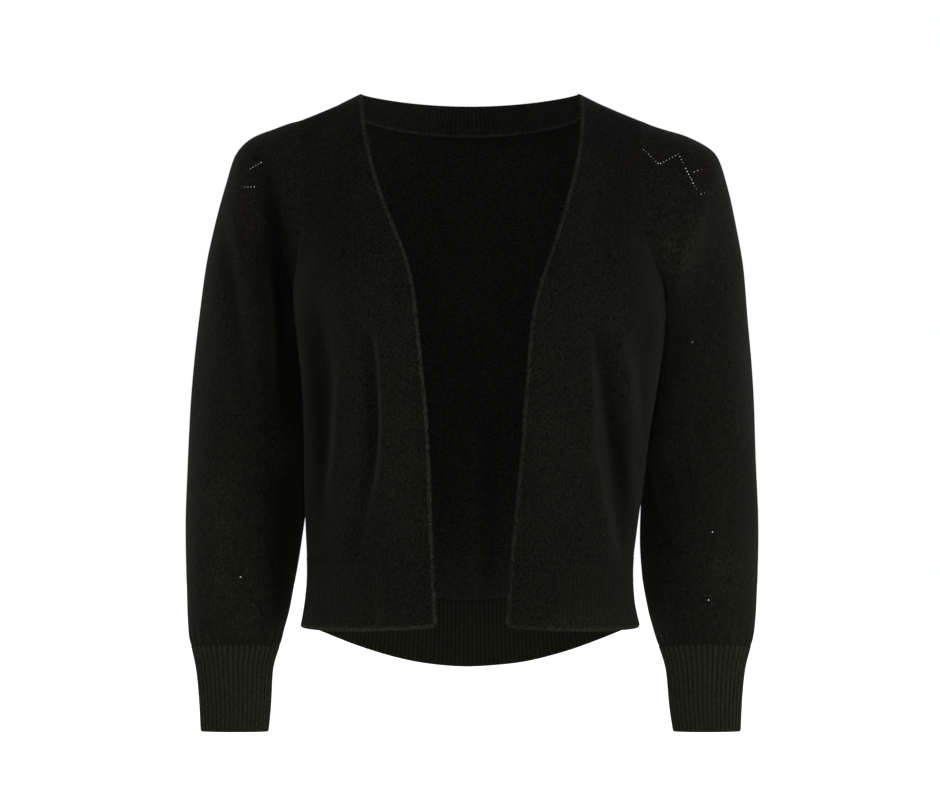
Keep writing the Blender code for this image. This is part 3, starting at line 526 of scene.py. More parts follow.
Ring = namedtuple("Ring", "number out_left out_right out_z in_left in_right in_z back half lean")
RINGS = (
    Ring(0, 0.1600, 0.1600, -0.0249, 0.1680, 0.1860, -0.1950, 0.000, 0.0500, 0.00),
    Ring(1, 0.1850, 0.1850, -0.0325, 0.1680, 0.1882, -0.2010, 0.009, 0.0550, 0.00),
    Ring(2, 0.2080, 0.2090, -0.0405, 0.1666, 0.1875, -0.2130, 0.017, 0.0580, 0.00),
    Ring(3, 0.2245, 0.2345, -0.0560, 0.1642, 0.1848, -0.2290, 0.021, 0.0590, 0.00),
    Ring(4, 0.2345, 0.2460, -0.0870, 0.1628, 0.1825, -0.2460, 0.023, 0.0590, 0.00),
    Ring(5, 0.2440, 0.2545, -0.1230, 0.1605, 0.1800, -0.2640, 0.025, 0.0585, 0.00),
    Ring(6, 0.2530, 0.2625, -0.1650, 0.1580, 0.1758, -0.2850, 0.027, 0.0580, 0.00),
    Ring(7, 0.2592, 0.2670, -0.2120, 0.1563, 0.1712, -0.3090, 0.029, 0.0570, 0.00),
    Ring(8, 0.2642, 0.2705, -0.2600, 0.1558, 0.1672, -0.3350, 0.030, 0.0560, 0.00),
    Ring(9, 0.2680, 0.2723, -0.3080, 0.1558, 0.1645, -0.3630, 0.028, 0.0550, 0.02),
    Ring(10, 0.2705, 0.2730, -0.3560, 0.1570, 0.1628, -0.3930, 0.023, 0.0540, 0.06),
    Ring(11, 0.2715, 0.2735, -0.4040, 0.1608, 0.1622, -0.4240, 0.015, 0.0520, 0.10),
    Ring(12, 0.2710, 0.2730, -0.4500, 0.1650, 0.1635, -0.4570, 0.005, 0.0480, 0.13),
    Ring(13, 0.2690, 0.2715, -0.4880, 0.1702, 0.1685, -0.4890, -0.004, 0.0410, 0.15),
    Ring(14, 0.2665, 0.2690, -0.5095, 0.1760, 0.1745, -0.5095, -0.0085, 0.0335, 0.16),
    Ring(15, 0.2635, 0.2655, -0.5235, 0.1805, 0.1790, -0.5235, -0.011, 0.0270, 0.16),
    Ring(16, 0.2583, 0.2595, -0.5470, 0.1866, 0.1856, -0.5470, -0.015, 0.0215, 0.16),
    Ring(17, 0.2550, 0.2562, -0.5780, 0.1880, 0.1882, -0.5780, -0.020, 0.0190, 0.16),
    Ring(18, 0.2535, 0.2548, -0.6023, 0.1900, 0.1915, -0.6023, -0.024, 0.0178, 0.16),
)
FOLD_CLEAR = 0.014  # creases fade out this near the armhole
CUFF_RING = 15
LAST_RING = 18
print("tables:", len(BODY), "body rows,", len(FRONT_EDGE), "front edge rows,", len(RINGS), "sleeve rings")

# %% [markdown]
# ## Curves through the tables
#
# `read` gives a smooth value between the rows of a table. It is a monotone cubic, which never swings past the
# values it joins; a plain spline would ripple where the rows are uneven. `spread` lays points out by their
# distance along a line, so that columns of stitches stay the same width.

# %% Curves
def read(table, key, column, at):
    """A smooth curve through one column of a table, read at values of its key."""
    rows = sorted(table, key=lambda row: getattr(row, key))
    knots = np.array([getattr(row, key) for row in rows])
    values = np.array([getattr(row, column) for row in rows])
    at = np.clip(np.asarray(at, float), knots[0], knots[-1])
    steps = np.diff(knots)
    secants = np.diff(values) / steps
    slopes = np.empty_like(values)
    slopes[0], slopes[-1] = secants[0], secants[-1]
    before, after = secants[:-1], secants[1:]
    same_way = before * after > 0
    total = np.where(same_way, before + after, 1.0)
    slopes[1:-1] = np.where(same_way, 2 * before * after / total, 0.0)
    place = np.clip(np.searchsorted(knots, at) - 1, 0, len(steps) - 1)
    step = steps[place]
    t = (at - knots[place]) / step
    start = (1 + 2 * t) * (1 - t) ** 2 * values[place] + t * (1 - t) ** 2 * step * slopes[place]
    end = t * t * (3 - 2 * t) * values[place + 1] + t * t * (t - 1) * step * slopes[place + 1]
    return start + end


def name_of(side):
    return "left" if side == LEFT else "right"


def ease(t):
    t = np.clip(t, 0.0, 1.0)
    return t * t * (3 - 2 * t)


def unit(vectors):
    return vectors / np.maximum(np.linalg.norm(vectors, axis=-1, keepdims=True), 1e-12)


def lengths_along(points):
    """Distance of each point from the first, along a line of points."""
    return np.concatenate(([0.0], np.cumsum(np.linalg.norm(np.diff(points, axis=0), axis=1))))


def spread(points, fractions):
    """Points at the given fractions of the length of a finely divided line."""
    lengths = lengths_along(points)
    places = np.asarray(fractions) * lengths[-1]
    return np.stack([np.interp(places, lengths, column) for column in points.T], axis=1)


print("chest depth at the underarm:", round(float(read(CHEST, "z", "depth", UNDERARM_Z)), 4))

# %% [markdown]
# ## The body's form
#
# A place on the body is given as (down, across). Down runs from 0 at the shoulder to 1 at the underarm and 2
# at the hem. Across runs from 0 at the front edge, or at the centre of the back, to 1 at the armhole or side
# seam. Each row is a quarter of a rounded section between those two limits. Lofting between a few drawn
# sections would also work, but a rule for every row lets each piece choose how finely it is divided.

# %% The body's form
SHOULDER_BOW = 0.9  # the shoulder seam drops a little sooner than a straight line
NECK_SCOOP, NECK_TOP_SCOOP = 1.165, 2.2  # the larger, the more a neckline dips at the centre only
ARMHOLE_ROUNDNESS, ARMHOLE_LOWNESS = 1.3, 0.25


def armhole_reach(way):
    """How far the armhole seam stands in front of, and behind, the shoulder line."""
    swell = 2 * np.sqrt(np.clip(way * (1 - way), 0.0, 1.0))
    return ARMHOLE_REACH * swell**ARMHOLE_ROUNDNESS * (1 + ARMHOLE_LOWNESS * (way - 0.5))


def armhole_point(side, way, face):
    """A point of the armhole seam; face is -1 in front and +1 behind."""
    x = side * read(ARMHOLE, "way", name_of(side), way)
    z = SHOULDER_Z + (UNDERARM_Z - SHOULDER_Z) * way
    return np.stack([x, face * armhole_reach(way), z], axis=-1)


def quarter(side, depth, side_x, side_y, inner_x, fractions):
    """Points round a quarter of the body, from inner_x out to the side point."""
    half_power = SECTION_POWER / 2
    outer_angle = math.asin(min(side_y / depth, 0.95) ** half_power)
    half_width = side_x / math.cos(outer_angle) ** (1 / half_power)
    inner_angle = math.acos(min(inner_x / half_width, 1.0) ** half_power)
    angles = np.linspace(inner_angle, outer_angle, 240)
    x = side * half_width * np.cos(angles) ** (1 / half_power)
    y = depth * np.sin(angles) ** (1 / half_power)
    return spread(np.stack([x, y], axis=1), fractions)


def front_row(side, down, across):
    """One row of a front, from its front edge to the armhole or the side seam."""
    column = name_of(side)
    if down < 1:
        ridge = SHOULDER_Z * across**SHOULDER_BOW
        z = ridge + (UNDERARM_Z - ridge) * down
        edge_z = UNDERARM_Z * down
        side_x = float(read(ARMHOLE, "way", column, down))
        side_y = float(armhole_reach(down))
    else:
        side_z = UNDERARM_Z + (SIDE_HEM_Z - UNDERARM_Z) * (down - 1)
        rise = FRONT_HEM_RISE * ease(down - 1)
        z = side_z + rise * (1 - across) ** 3
        edge_z = side_z + rise
        side_x = float(read(BODY, "z", column, side_z))
        side_y = 0.0
    depth = float(read(CHEST, "z", "depth", edge_z)) + 1e-5
    edge_x = float(read(FRONT_EDGE, "z", column, edge_z))
    flat = quarter(side, depth, side_x, side_y, edge_x, across)
    return np.stack([flat[:, 0], -flat[:, 1], z], axis=1)


def shoulder_z(x):
    """Height of the shoulder seam at a distance from the centre plane."""
    way = np.clip((x - NECK_HALF_WIDTH) / (SHOULDER_X - NECK_HALF_WIDTH), 0, 1)
    return SHOULDER_Z * way**SHOULDER_BOW


def neck_seam(turn):
    """The seam between the back and its neck band; turn is 0 at centre back, 1 at the shoulder."""
    angle = turn * math.pi / 2
    drop = NECK_SEAM_DROP * np.cos(angle) ** NECK_SCOOP
    corner_z = shoulder_z(NECK_SEAM_HALF_WIDTH)
    return NECK_SEAM_HALF_WIDTH * np.sin(angle), NECK_SEAM_DEPTH * np.cos(angle), corner_z - drop


def neck_top(side, turns):
    """The free upper edge of the neck band."""
    angle = turns * math.pi / 2
    x = side * NECK_HALF_WIDTH * np.sin(angle)
    z = -NECK_TOP_DROP * np.cos(angle) ** NECK_TOP_SCOOP
    return np.stack([x, NECK_TOP_DEPTH * np.cos(angle), z], axis=-1)


def back_top(across):
    """The top row of a half back: the neck seam, then the shoulder seam."""
    turn = np.clip(across / NECK_SHARE, 0, 1)
    x, y, z = neck_seam(turn)
    out = np.clip((across - NECK_SHARE) / (1 - NECK_SHARE), 0, 1)
    shoulder_x = x + (SHOULDER_X - NECK_SEAM_HALF_WIDTH) * out
    on_shoulder = across > NECK_SHARE
    return (np.where(on_shoulder, shoulder_x, x), np.where(on_shoulder, 0.0, y),
            np.where(on_shoulder, shoulder_z(shoulder_x), z))


def back_row(side, down, across):
    """One row of a half back, from the centre to the armhole or the side seam."""
    column = name_of(side)
    if down < 1:
        top_x, top_y, top_z = back_top(across)
        share = (1 - (1 - down) ** 2.2) ** 0.75
        depth = BLADE_DEPTH + (BODY[0].back - BLADE_DEPTH) * down
        side_x = float(read(ARMHOLE, "way", column, down))
        side_y = float(armhole_reach(down)) / max(share, 1e-6)
        flat = quarter(side, depth, side_x, side_y, 0.0, across)
        x = (1 - share) * side * top_x + share * flat[:, 0]
        y = (1 - share) * top_y + share * flat[:, 1]
        x[-1] = side * side_x if across[-1] == 1 else x[-1]
        z = top_z + (UNDERARM_Z - top_z) * down
        return np.stack([x, y, z], axis=1)
    side_z = UNDERARM_Z + (SIDE_HEM_Z - UNDERARM_Z) * (down - 1)
    depth = float(read(BODY, "z", "back", side_z))
    side_x = float(read(BODY, "z", column, side_z))
    flat = quarter(side, depth, side_x, 0.0, 0.0, across)
    dip = BACK_HEM_DROP * ease((down - 1) / (RIB_TOP - 1))
    z = side_z - dip * (1 - (flat[:, 0] / side_x) ** 2)
    return np.stack([flat[:, 0], flat[:, 1], z], axis=1)


RIB_TOP = 1 + (SIDE_HEM_Z + HEM_RIB_HEIGHT - UNDERARM_Z) / (SIDE_HEM_Z - UNDERARM_Z)
print("the hem rib starts at down =", round(RIB_TOP, 3))

# %% [markdown]
# ## The sleeve's form
#
# A full sleeve is a tube of rings. The first ring is the armhole itself, the next few turn over the shoulder,
# and the rest swell down the arm and draw in to the cuff. Angle 0 is the outermost point of a ring and a
# quarter turn is its front. At the armhole the sleeve and the body share one direction through the cloth, so
# that their walls meet in a mitre and no light passes between them.

# %% The sleeve's form
TURNED_OVER = 2.5  # the ring by which the sleeve has turned from the armhole's shape to an ellipse


def ellipse_ring(side, number, angles):
    """A ring of the sleeve or cuff."""
    names = (f"out_{name_of(side)}", "out_z", f"in_{name_of(side)}", "in_z", "back", "half", "lean")
    out_x, out_z, in_x, in_z, back, half, lean = (read(RINGS, "number", name, number) for name in names)
    x = side * ((out_x + in_x) / 2 + (out_x - in_x) / 2 * np.cos(angles))
    y = back - half * np.sin(angles)
    z = (out_z + in_z) / 2 + (out_z - in_z) / 2 * np.cos(angles) + lean * half * np.sin(angles)
    return np.stack([x, y, z], axis=-1)


def armhole_loop(side, angles):
    """The whole armhole seam, at the angles of a sleeve ring."""
    way = (1 - np.cos(angles)) / 2
    face = np.where(np.sin(angles) >= 0, -1, 1)
    return armhole_point(side, way, face)


def sleeve_ring(side, number, angles):
    """A ring of the sleeve, which starts as the armhole seam and soon becomes an ellipse."""
    start = armhole_loop(side, angles) - ellipse_ring(side, 0, angles)
    return ellipse_ring(side, number, angles) + start * (1 - ease(number / TURNED_OVER))


def sleeve_normals(side, number, angles):
    """Unit normals of a ring, pointing out of the sleeve."""
    step = 1e-3
    below = sleeve_ring(side, min(number + step, LAST_RING), angles)
    above = sleeve_ring(side, max(number - step, 0), angles)
    around = sleeve_ring(side, number, angles + step) - sleeve_ring(side, number, angles - step)
    found = unit(np.cross(around, below - above))
    centre = sleeve_ring(side, number, angles).mean(axis=0)
    away = np.sum(found * (sleeve_ring(side, number, angles) - centre))
    return found if away > 0 else -found


def grid(row, side, downs, acrosses):
    """Rows of points; acrosses holds a list for each row."""
    return np.stack([row(side, down, np.asarray(acrosses[n])) for n, down in enumerate(downs)])


def body_normals(row, side, downs, acrosses, outward):
    """Unit normals of the body's form; outward is the sign of Y on the outside."""
    step = 2e-3
    low = grid(row, side, np.maximum(np.asarray(downs) - step, 1e-4), acrosses)
    high = grid(row, side, np.minimum(np.asarray(downs) + step, 2.0), acrosses)
    inside = grid(row, side, downs, [np.clip(a - step, 0, 1) for a in acrosses])
    outside = grid(row, side, downs, [np.clip(a + step, 0, 1) for a in acrosses])
    found = unit(np.cross(outside - inside, high - low))
    flip = np.sign(found[..., 1] * outward + found[..., 0] * side * 0.5)
    return found * np.where(flip == 0, 1, flip)[..., None]


def armhole_seam(side, angles):
    """Points of the armhole seam and the direction that the walls on both sides of it share."""
    points = armhole_loop(side, angles)
    step = 1e-3
    tangent = unit(armhole_loop(side, angles + step) - armhole_loop(side, angles - step))
    sleeve = unit(np.cross(tangent, sleeve_ring(side, 0.5, angles) - points))
    centre = points.mean(axis=0)
    sleeve *= np.where(np.sum(sleeve * (points - centre), axis=1) > 0, 1, -1)[:, None]
    down = (1 - np.cos(angles)) / 2
    panel = np.empty_like(points)
    for n, angle in enumerate(angles):
        row, outward = (front_row, FRONT) if math.sin(angle) >= 0 else (back_row, BACK)
        place = min(max(down[n], 0.01), 0.995)
        panel[n] = body_normals(row, side, [place], [np.array([1.0])], outward)[0, 0]
    under = np.clip(-np.cos(angles), 0, 1) ** 4
    over = np.clip(np.cos(angles), 0, 1) ** 8
    upright = np.array([0.0, 0.0, 1.0])
    shared = unit(panel + sleeve + (2 * over - 0.8 * under)[:, None] * upright)
    shared[np.abs(np.sin(angles)) < 1e-6, 1] = 0.0
    return points, unit(shared)


def ridge_direction(side):
    """Straight out of the shoulder seam."""
    return unit(np.array([-SHOULDER_Z * side, 0.0, SHOULDER_X - NECK_HALF_WIDTH]))


print("left sleeve's girth at mid arm:", round(float(lengths_along(
    ellipse_ring(LEFT, 8, np.linspace(0, 2 * math.pi, 200)))[-1]), 3))

# %% [markdown]
# ## Creases
#
# Cloth that hangs from the shoulders falls in long soft troughs with a ridge beside each, and gathers small
# wrinkles where it is drawn in. Each crease is a short path with a height, below zero for a trough, and a
# width; a point is moved along its own normal by how near it lies. A trough also carries painted shade and a
# ridge painted light. Rows with no height only add painted shade, or painted light where their share is above
# zero. No two creases are alike in length, depth or spacing. The table is in millimetres, by piece and by the
# face that a crease lies on.
#
# Simulated cloth was the other choice, but it would lose the crisp ribs and the outline. Very slow waves
# under the creases keep the plain stretches from looking moulded.

# %% Creases
Crease = namedtuple("Crease", "height width tone path")  # millimetres, and painted light as a share, below zero for painted shade
CREASES = {
    ("front_left", "front"): (
        (-9, 7, -0.22, ((-93.5, -232), (-90.8, -262), (-89, -300), (-91, -345), (-97.5, -380),
            (-105, -428))),
        (4, 5, 0.12, ((-83.5, -230), (-80.8, -272), (-80, -315), (-82, -366))),
        (-8, 11.5, -0.38, ((-145, -200), (-140, -245), (-138.5, -290), (-140, -335), (-144.5, -385),
            (-151, -440))),
        (3.4, 6.5, 0.1, ((-119, -258), (-122.5, -292), (-126, -330), (-131, -378))),
        (-1.6, 5, -0.1, ((-115, -212), (-108, -228), (-101, -246))),
        (1.4, 4, 0.08, ((-121, -219), (-113, -232), (-106, -248))),
        (0, 14, -0.85, ((-158, -215), (-154.5, -280), (-153, -350), (-153, -440))),
        (0, 8, -0.24, ((-128, -220), (-128.5, -280), (-129, -340))),
        (0, 12, -0.25, ((-138, -355), (-138, -405), (-136, -445))),
        (0, 30, 0.19, ((-85, -50), (-84, -200), (-80, -400))),
        (1.2, 4, 0.12, ((-85, -450), (-84.5, -478), (-85, -503))),
        (1, 12, 0.14, ((-62, -230), (-64, -320), (-66, -420))),
        (-2, 20, -0.14, ((-135, -70), (-125, -120), (-120, -170))),
    ),
    ("front_right", "front"): (
        (4.2, 6.2, 0.15, ((108.5, -255), (111, -292), (113, -332), (118, -372), (123.5, -404),
            (130, -435))),
        (-7, 8.5, -0.22, ((118, -225), (123.5, -258), (130, -300), (135, -345), (138.5, -390),
            (142, -435))),
        (3.4, 6.5, 0.3, ((139.8, -234), (146, -266), (152, -300), (156, -338))),
        (0, 7, -0.36, ((127, -245), (134, -290), (141.5, -345), (149, -390), (154, -425))),
        (0, 9, -0.6, ((173, -205), (167, -255), (161, -305), (158, -350))),
        (0, 8, -0.3, ((142, -310), (145, -355), (150, -405))),
        (0, 8, -0.18, ((121, -290), (124, -340), (130, -390))),
        (0, 16, 0.16, ((127, -180), (131, -210), (134, -240))),
        (0, 30, 0.12, ((100, -40), (100, -130), (98, -230))),
        (1.6, 4.5, 0.1, ((129, -400), (135, -422), (139, -446))),
        (-1.2, 8, -0.05, ((85, -190), (87, -250), (83, -320))),
        (1, 14, 0.1, ((70, -290), (72, -360), (70, -440))),
        (-2.2, 20, -0.12, ((140, -70), (133, -120), (125, -170))),
    ),
    ("back", "back"): (
        (-6, 16, 0, ((-85, -240), (-78, -300), (-80, -360), (-90, -430))),
        (5, 8, -0.26, ((19, -310), (20, -370), (19, -430), (17, -500))),
        (-5, 15, 0, ((95, -255), (88, -310), (92, -370), (100, -420))),
        (-2.8, 7.5, 0.12, ((3, -290), (4, -370), (5, -470))),
        (2.2, 8, -0.05, ((-52, -260), (-50, -330), (-56, -410))),
        (-2, 7, 0, ((-118, -200), (-110, -250), (-112, -310))),
        (-2, 7.5, 0, ((128, -190), (120, -240), (121, -300))),
        (1.8, 7, 0, ((56, -300), (60, -360), (58, -430))),
    ),
    ("sleeve_left", "front"): (
        (-11.5, 12.5, -0.4, ((-195, -70), (-188, -108), (-183.5, -150), (-178.5, -195), (-175.5, -250),
            (-174.5, -310))),
        (3.6, 9.5, 0.12, ((-224, -95), (-219.5, -132), (-211, -174), (-204.5, -234), (-203, -276))),
        (-2.4, 9, -0.36, ((-233, -130), (-226.6, -168), (-220.9, -207), (-216.1, -245), (-211.4, -285))),
        (0, 11, -0.55, ((-190.5, -95), (-183, -120), (-174, -150), (-170, -190), (-170, -240),
            (-171, -310))),
        (0, 13, -0.55, ((-172, -360), (-171, -420), (-174, -470), (-179, -515))),
        (0, 12, 0.24, ((-199, -430), (-201, -475), (-204, -515))),
        (0, 10, -0.25, ((-236, -80), (-243, -112), (-249, -148))),
        (0, 12, 0.25, ((-208, -70), (-207, -102), (-200, -138))),
        (-1.4, 4, -0.1, ((-215.7, -127), (-209.2, -141), (-201, -157))),
        (-1, 13, -0.26, ((-183, -360), (-185, -420), (-189, -490))),
        (1.6, 22, 0.36, ((-233, -360), (-235, -430), (-233, -500))),
    ),
    ("sleeve_left", "back"): (
        (-5, 11.5, 0, ((-204, -65), (-196, -100), (-188, -140))),
        (-4, 12, 0, ((-220, -290), (-205, -320), (-188, -350))),
        (2.2, 9, 0, ((-235, -240), (-223, -265), (-206, -285))),
        (-1.8, 8, 0, ((-242, -360), (-230, -400), (-216, -430))),
    ),
    ("sleeve_right", "front"): (
        (3.4, 9.5, 0.08, ((214, -100), (208, -130), (199.5, -160), (190.5, -200))),
        (5, 13, 0.5, ((206, -130), (197, -175), (190, -220), (184, -270), (179, -340))),
        (0, 9, 0.65, ((190, -140), (187, -180), (185, -220), (183, -265))),
        (0, 18, 0.25, ((244, -430), (246, -475), (245, -520))),
        (-3, 6, -0.2, ((201, -200), (195, -232), (189.5, -262), (185, -290))),
        (-5, 6, -0.25, ((168, -345), (172, -375), (177.5, -405), (186, -426))),
        (-2.6, 6, -0.2, ((215, -310), (218, -330), (225, -350))),
        (-1.6, 5, -0.15, ((198, -352), (203, -362), (211, -376))),
        (-1, 15, -0.12, ((228, -150), (230, -230), (233, -330))),
        (-1.4, 7, 0, ((244, -390), (238, -430), (234, -475))),
    ),
    ("sleeve_right", "back"): (
        (-5, 11.5, 0, ((211, -68), (206, -105), (201, -145))),
        (-4, 12, 0, ((223, -300), (208, -325), (192, -350))),
        (2.2, 9, 0, ((242, -250), (230, -280), (214, -300))),
        (-1.8, 8, 0, ((246, -350), (233, -385), (220, -420))),
    ),
}


def path_points(path):
    """A smooth line through the points of a crease's path."""
    knots = np.array(path)
    ways = np.linspace(0, len(knots) - 1, 60)
    place = np.minimum(ways.astype(int), len(knots) - 2)
    t = (ways - place)[:, None]
    before = knots[np.maximum(place - 1, 0)]
    start, end = knots[place], knots[place + 1]
    after = knots[np.minimum(place + 2, len(knots) - 1)]
    return 0.5 * (2 * start + (end - before) * t + (2 * before - 5 * start + 4 * end - after) * t**2
                  + (3 * start - before - 3 * end + after) * t**3)


def folds(piece, points, facing):
    """How far a piece's creases lift each point, and the painted light on it, below zero for painted shade;
    facing is Y of the normal.
    """
    flat = points[..., (0, 2)]
    lift, paler = np.zeros(points.shape[:-1]), np.zeros(points.shape[:-1])
    for (owner, face), rows in CREASES.items():
        turned = np.clip(-facing if face == "front" else facing, 0, 1)
        for crease in map(Crease._make, rows if owner == piece else ()):
            line = path_points(crease.path) / 1000
            distance = np.linalg.norm(flat[..., None, :] - line, axis=-1)
            along = np.argmin(distance, axis=-1) / (len(line) - 1)
            taper = np.sin(np.pi * (0.12 + 0.76 * along)) ** 0.8
            share = np.exp(-(np.min(distance, axis=-1) / crease.width * 1000) ** 2) * taper
            lift += crease.height / 1000 * share * turned**0.5
            # painted shade in troughs and painted light on ridges
            paler += crease.tone * share * np.minimum(4 * turned, 1) ** 0.5
    return lift, paler


WAVE_HEIGHT = 0.0007
WAVE_COUNT = 9
WAVE_LENGTHS = (0.040, 0.100)
CALM = 0.018  # creases and waves die out this near a seam


def slow_waves(points):
    """Slow waves of the cloth, longer up and down than across, the same wherever two pieces meet."""
    rng = np.random.default_rng(11)
    total = np.zeros(points.shape[:-1])
    for _ in range(WAVE_COUNT):
        turn = rng.uniform(0, 2 * math.pi)
        rate = 2 * math.pi / rng.uniform(*WAVE_LENGTHS)
        way = rate * np.array([math.cos(turn), math.sin(turn), 0.4 * rng.uniform(-1, 1)])
        total += np.sin(points @ way + rng.uniform(0, 2 * math.pi))
    return WAVE_HEIGHT * total / math.sqrt(WAVE_COUNT) * 1.4


print(sum(len(rows) for rows in CREASES.values()), "creases placed by hand")

# %% [markdown]
# ## Building a piece of cloth
#
# Each piece is a thin closed shell between two grids of points, its outside and its inside, with a rounded
# lip round every edge. An eyelet is a real octagonal hole through both skins with a lip of its own, so that
# light comes through it from any side. Holes in a transparency mask would be quicker to make, but they would
# have no thickness and would vanish from the model's shape.

# %% Cloth builder
Eyelet = namedtuple("Eyelet", "row column u v radius lit")
LIP_STEPS = 3
SEWN_LIP = 0.3  # how far a sewn border's lip stands out, against a free one's
RING_ANGLES = np.radians(22.5 + 45 * np.arange(8))
INSIDE_CELL = (0.04, 0.96)  # an eyelet's points stay this far inside their cell
WAIST = 0.15  # how much wider or, below zero, narrower an eyelet is halfway through
DARKEST_SHADE = -0.85
FAR = 0.1  # seam distance of a point that is near no seam

shrug = bpy.data.collections.new("knitted_shrug_cloth")
bpy.context.scene.collection.children.link(shrug)


def shell_corners(rows, columns, down, along):
    """Grid indices of a cell's corners, in the order down the left side and up the right."""
    right = (along + 1) % columns
    return np.stack([down * columns + along, (down + 1) * columns + along,
                     (down + 1) * columns + right, down * columns + right], axis=-1)


def border_edges(cloth_cells, closed):
    """Cell sides with no cloth beyond: row, column and side (0 left, 1 foot, 2 right, 3 top)."""
    rows, across = cloth_cells.shape
    padded_cells = np.zeros((rows + 2, across + 2), bool)
    padded_cells[1:-1, 1:-1] = cloth_cells
    if closed:
        padded_cells[1:-1, 0] = cloth_cells[:, -1]
        padded_cells[1:-1, -1] = cloth_cells[:, 0]
    found = []
    steps = ((0, -1), (1, 0), (0, 1), (-1, 0))
    for side, (down, along) in enumerate(steps):
        beyond = padded_cells[1 + down:rows + 1 + down, 1 + along:across + 1 + along]
        for row, column in np.argwhere(cloth_cells & ~beyond):
            found.append((int(row), int(column), side))
    return found


class Shell:
    """Points, faces and their values, gathered while a piece of cloth is built."""

    def __init__(self, outer, inner, cloth, closed):
        self.rows, self.columns = outer.shape[:2]
        self.skins = (outer, inner)
        self.cloth = cloth
        self.inner_start = self.rows * self.columns
        self.points = [outer.reshape(-1, 3), inner.reshape(-1, 3)]
        self.count = 2 * self.inner_start
        self.faces, self.places, self.insides = [], [], []
        self.open_points = []
        corner = outer[:-1, :-1]
        face = np.cross(outer[1:, :-1] - corner, outer[1:, 1:] - corner)
        self.turned = np.sum(face * (corner - inner[:-1, :-1])) < 0
        self.closed = closed

    def add_points(self, points):
        first = self.count
        self.points.append(np.asarray(points, float).reshape(-1, 3))
        self.count += len(self.points[-1])
        return first

    def add_face(self, corners, places, inside):
        """A face in the outer skin's direction; an inside face is turned over."""
        if self.turned != inside:
            corners, places = corners[::-1], places[::-1]
        self.faces.append(list(corners))
        self.places.extend(places)
        self.insides.append(inside)

    def skin_starts(self):
        """Each skin with the number of its first point, outside first."""
        return zip((False, True), (0, self.inner_start))


def blend_corners(corners, s, t):
    """A place inside a cell, s along and t down; corners run down the left side and up the right."""
    top_left, foot_left, foot_right, top_right = corners
    return (1 - s) * ((1 - t) * top_left + t * foot_left) + s * (t * foot_right + (1 - t) * top_right)


def add_skins(shell, cells):
    """The whole cells of both skins."""
    down, along = np.nonzero(cells)
    corners = shell_corners(shell.rows, shell.columns, down, along)
    places = np.stack([shell.cloth[down, along], shell.cloth[down + 1, along],
                       shell.cloth[down + 1, along + 1], shell.cloth[down, along + 1]], axis=1)
    for inside, start in shell.skin_starts():
        for four, where in zip((corners + start).tolist(), places.tolist()):
            shell.add_face(four, where, inside)


def add_eyelet(shell, eyelet):
    """A cell with an octagonal hole through it."""
    row, column, u, v, radius = eyelet[:5]
    right = (column + 1) % shell.columns
    rings, starts = [], []
    for skin in shell.skins:
        cell = (skin[row, column], skin[row + 1, column], skin[row + 1, right], skin[row, right])
        top_left, foot_left, foot_right, top_right = cell
        across = (np.linalg.norm(top_right - top_left) + np.linalg.norm(foot_right - foot_left)) / 2
        down = (np.linalg.norm(foot_left - top_left) + np.linalg.norm(foot_right - top_right)) / 2
        along = np.clip(u + radius / across * np.cos(RING_ANGLES), *INSIDE_CELL)[:, None]
        below = np.clip(v + radius / down * np.sin(RING_ANGLES), *INSIDE_CELL)[:, None]
        rings.append(blend_corners(cell, along, below))
        starts.append(shell.add_points(rings[-1]))
    cloth = shell.cloth
    place = (cloth[row, column], cloth[row + 1, column], cloth[row + 1, column + 1], cloth[row, column + 1])
    ring_places = blend_corners(place, along, below)
    corners = shell_corners(shell.rows, shell.columns, np.array(row), np.array(column))
    for inside, skin_start in shell.skin_starts():
        own = (corners + skin_start).tolist()
        # The ring's points 0 and 1 face the cell's foot right corner, 2 and 3 its foot left, and so on round.
        for n, (corner, beside) in enumerate(((2, 1), (1, 0), (0, 3), (3, 2))):
            first, second, third = (starts[inside] + (2 * n + step) % 8 for step in range(3))
            around = [ring_places[(2 * n + step) % 8] for step in range(3)]
            shell.add_face([own[corner], first, second], [place[corner], *around[:2]], inside)
            shell.add_face([own[corner], second, third, own[beside]],
                           [place[corner], *around[1:], place[beside]], inside)
    middle = (rings[0] + rings[1]) / 2
    middle = middle + WAIST * (middle.mean(axis=0) - middle)
    levels = (starts[0], shell.add_points(middle), starts[1])
    for upper, lower in zip(levels[:-1], levels[1:]):
        for n in range(8):
            after = (n + 1) % 8
            shell.add_face([upper + after, upper + n, lower + n, lower + after],
                           [ring_places[after], ring_places[n], ring_places[n], ring_places[after]], False)
    # Each ring of the eyelet carries its painted light.
    for first in levels:
        shell.open_points.extend((first + n, eyelet.lit) for n in range(8))


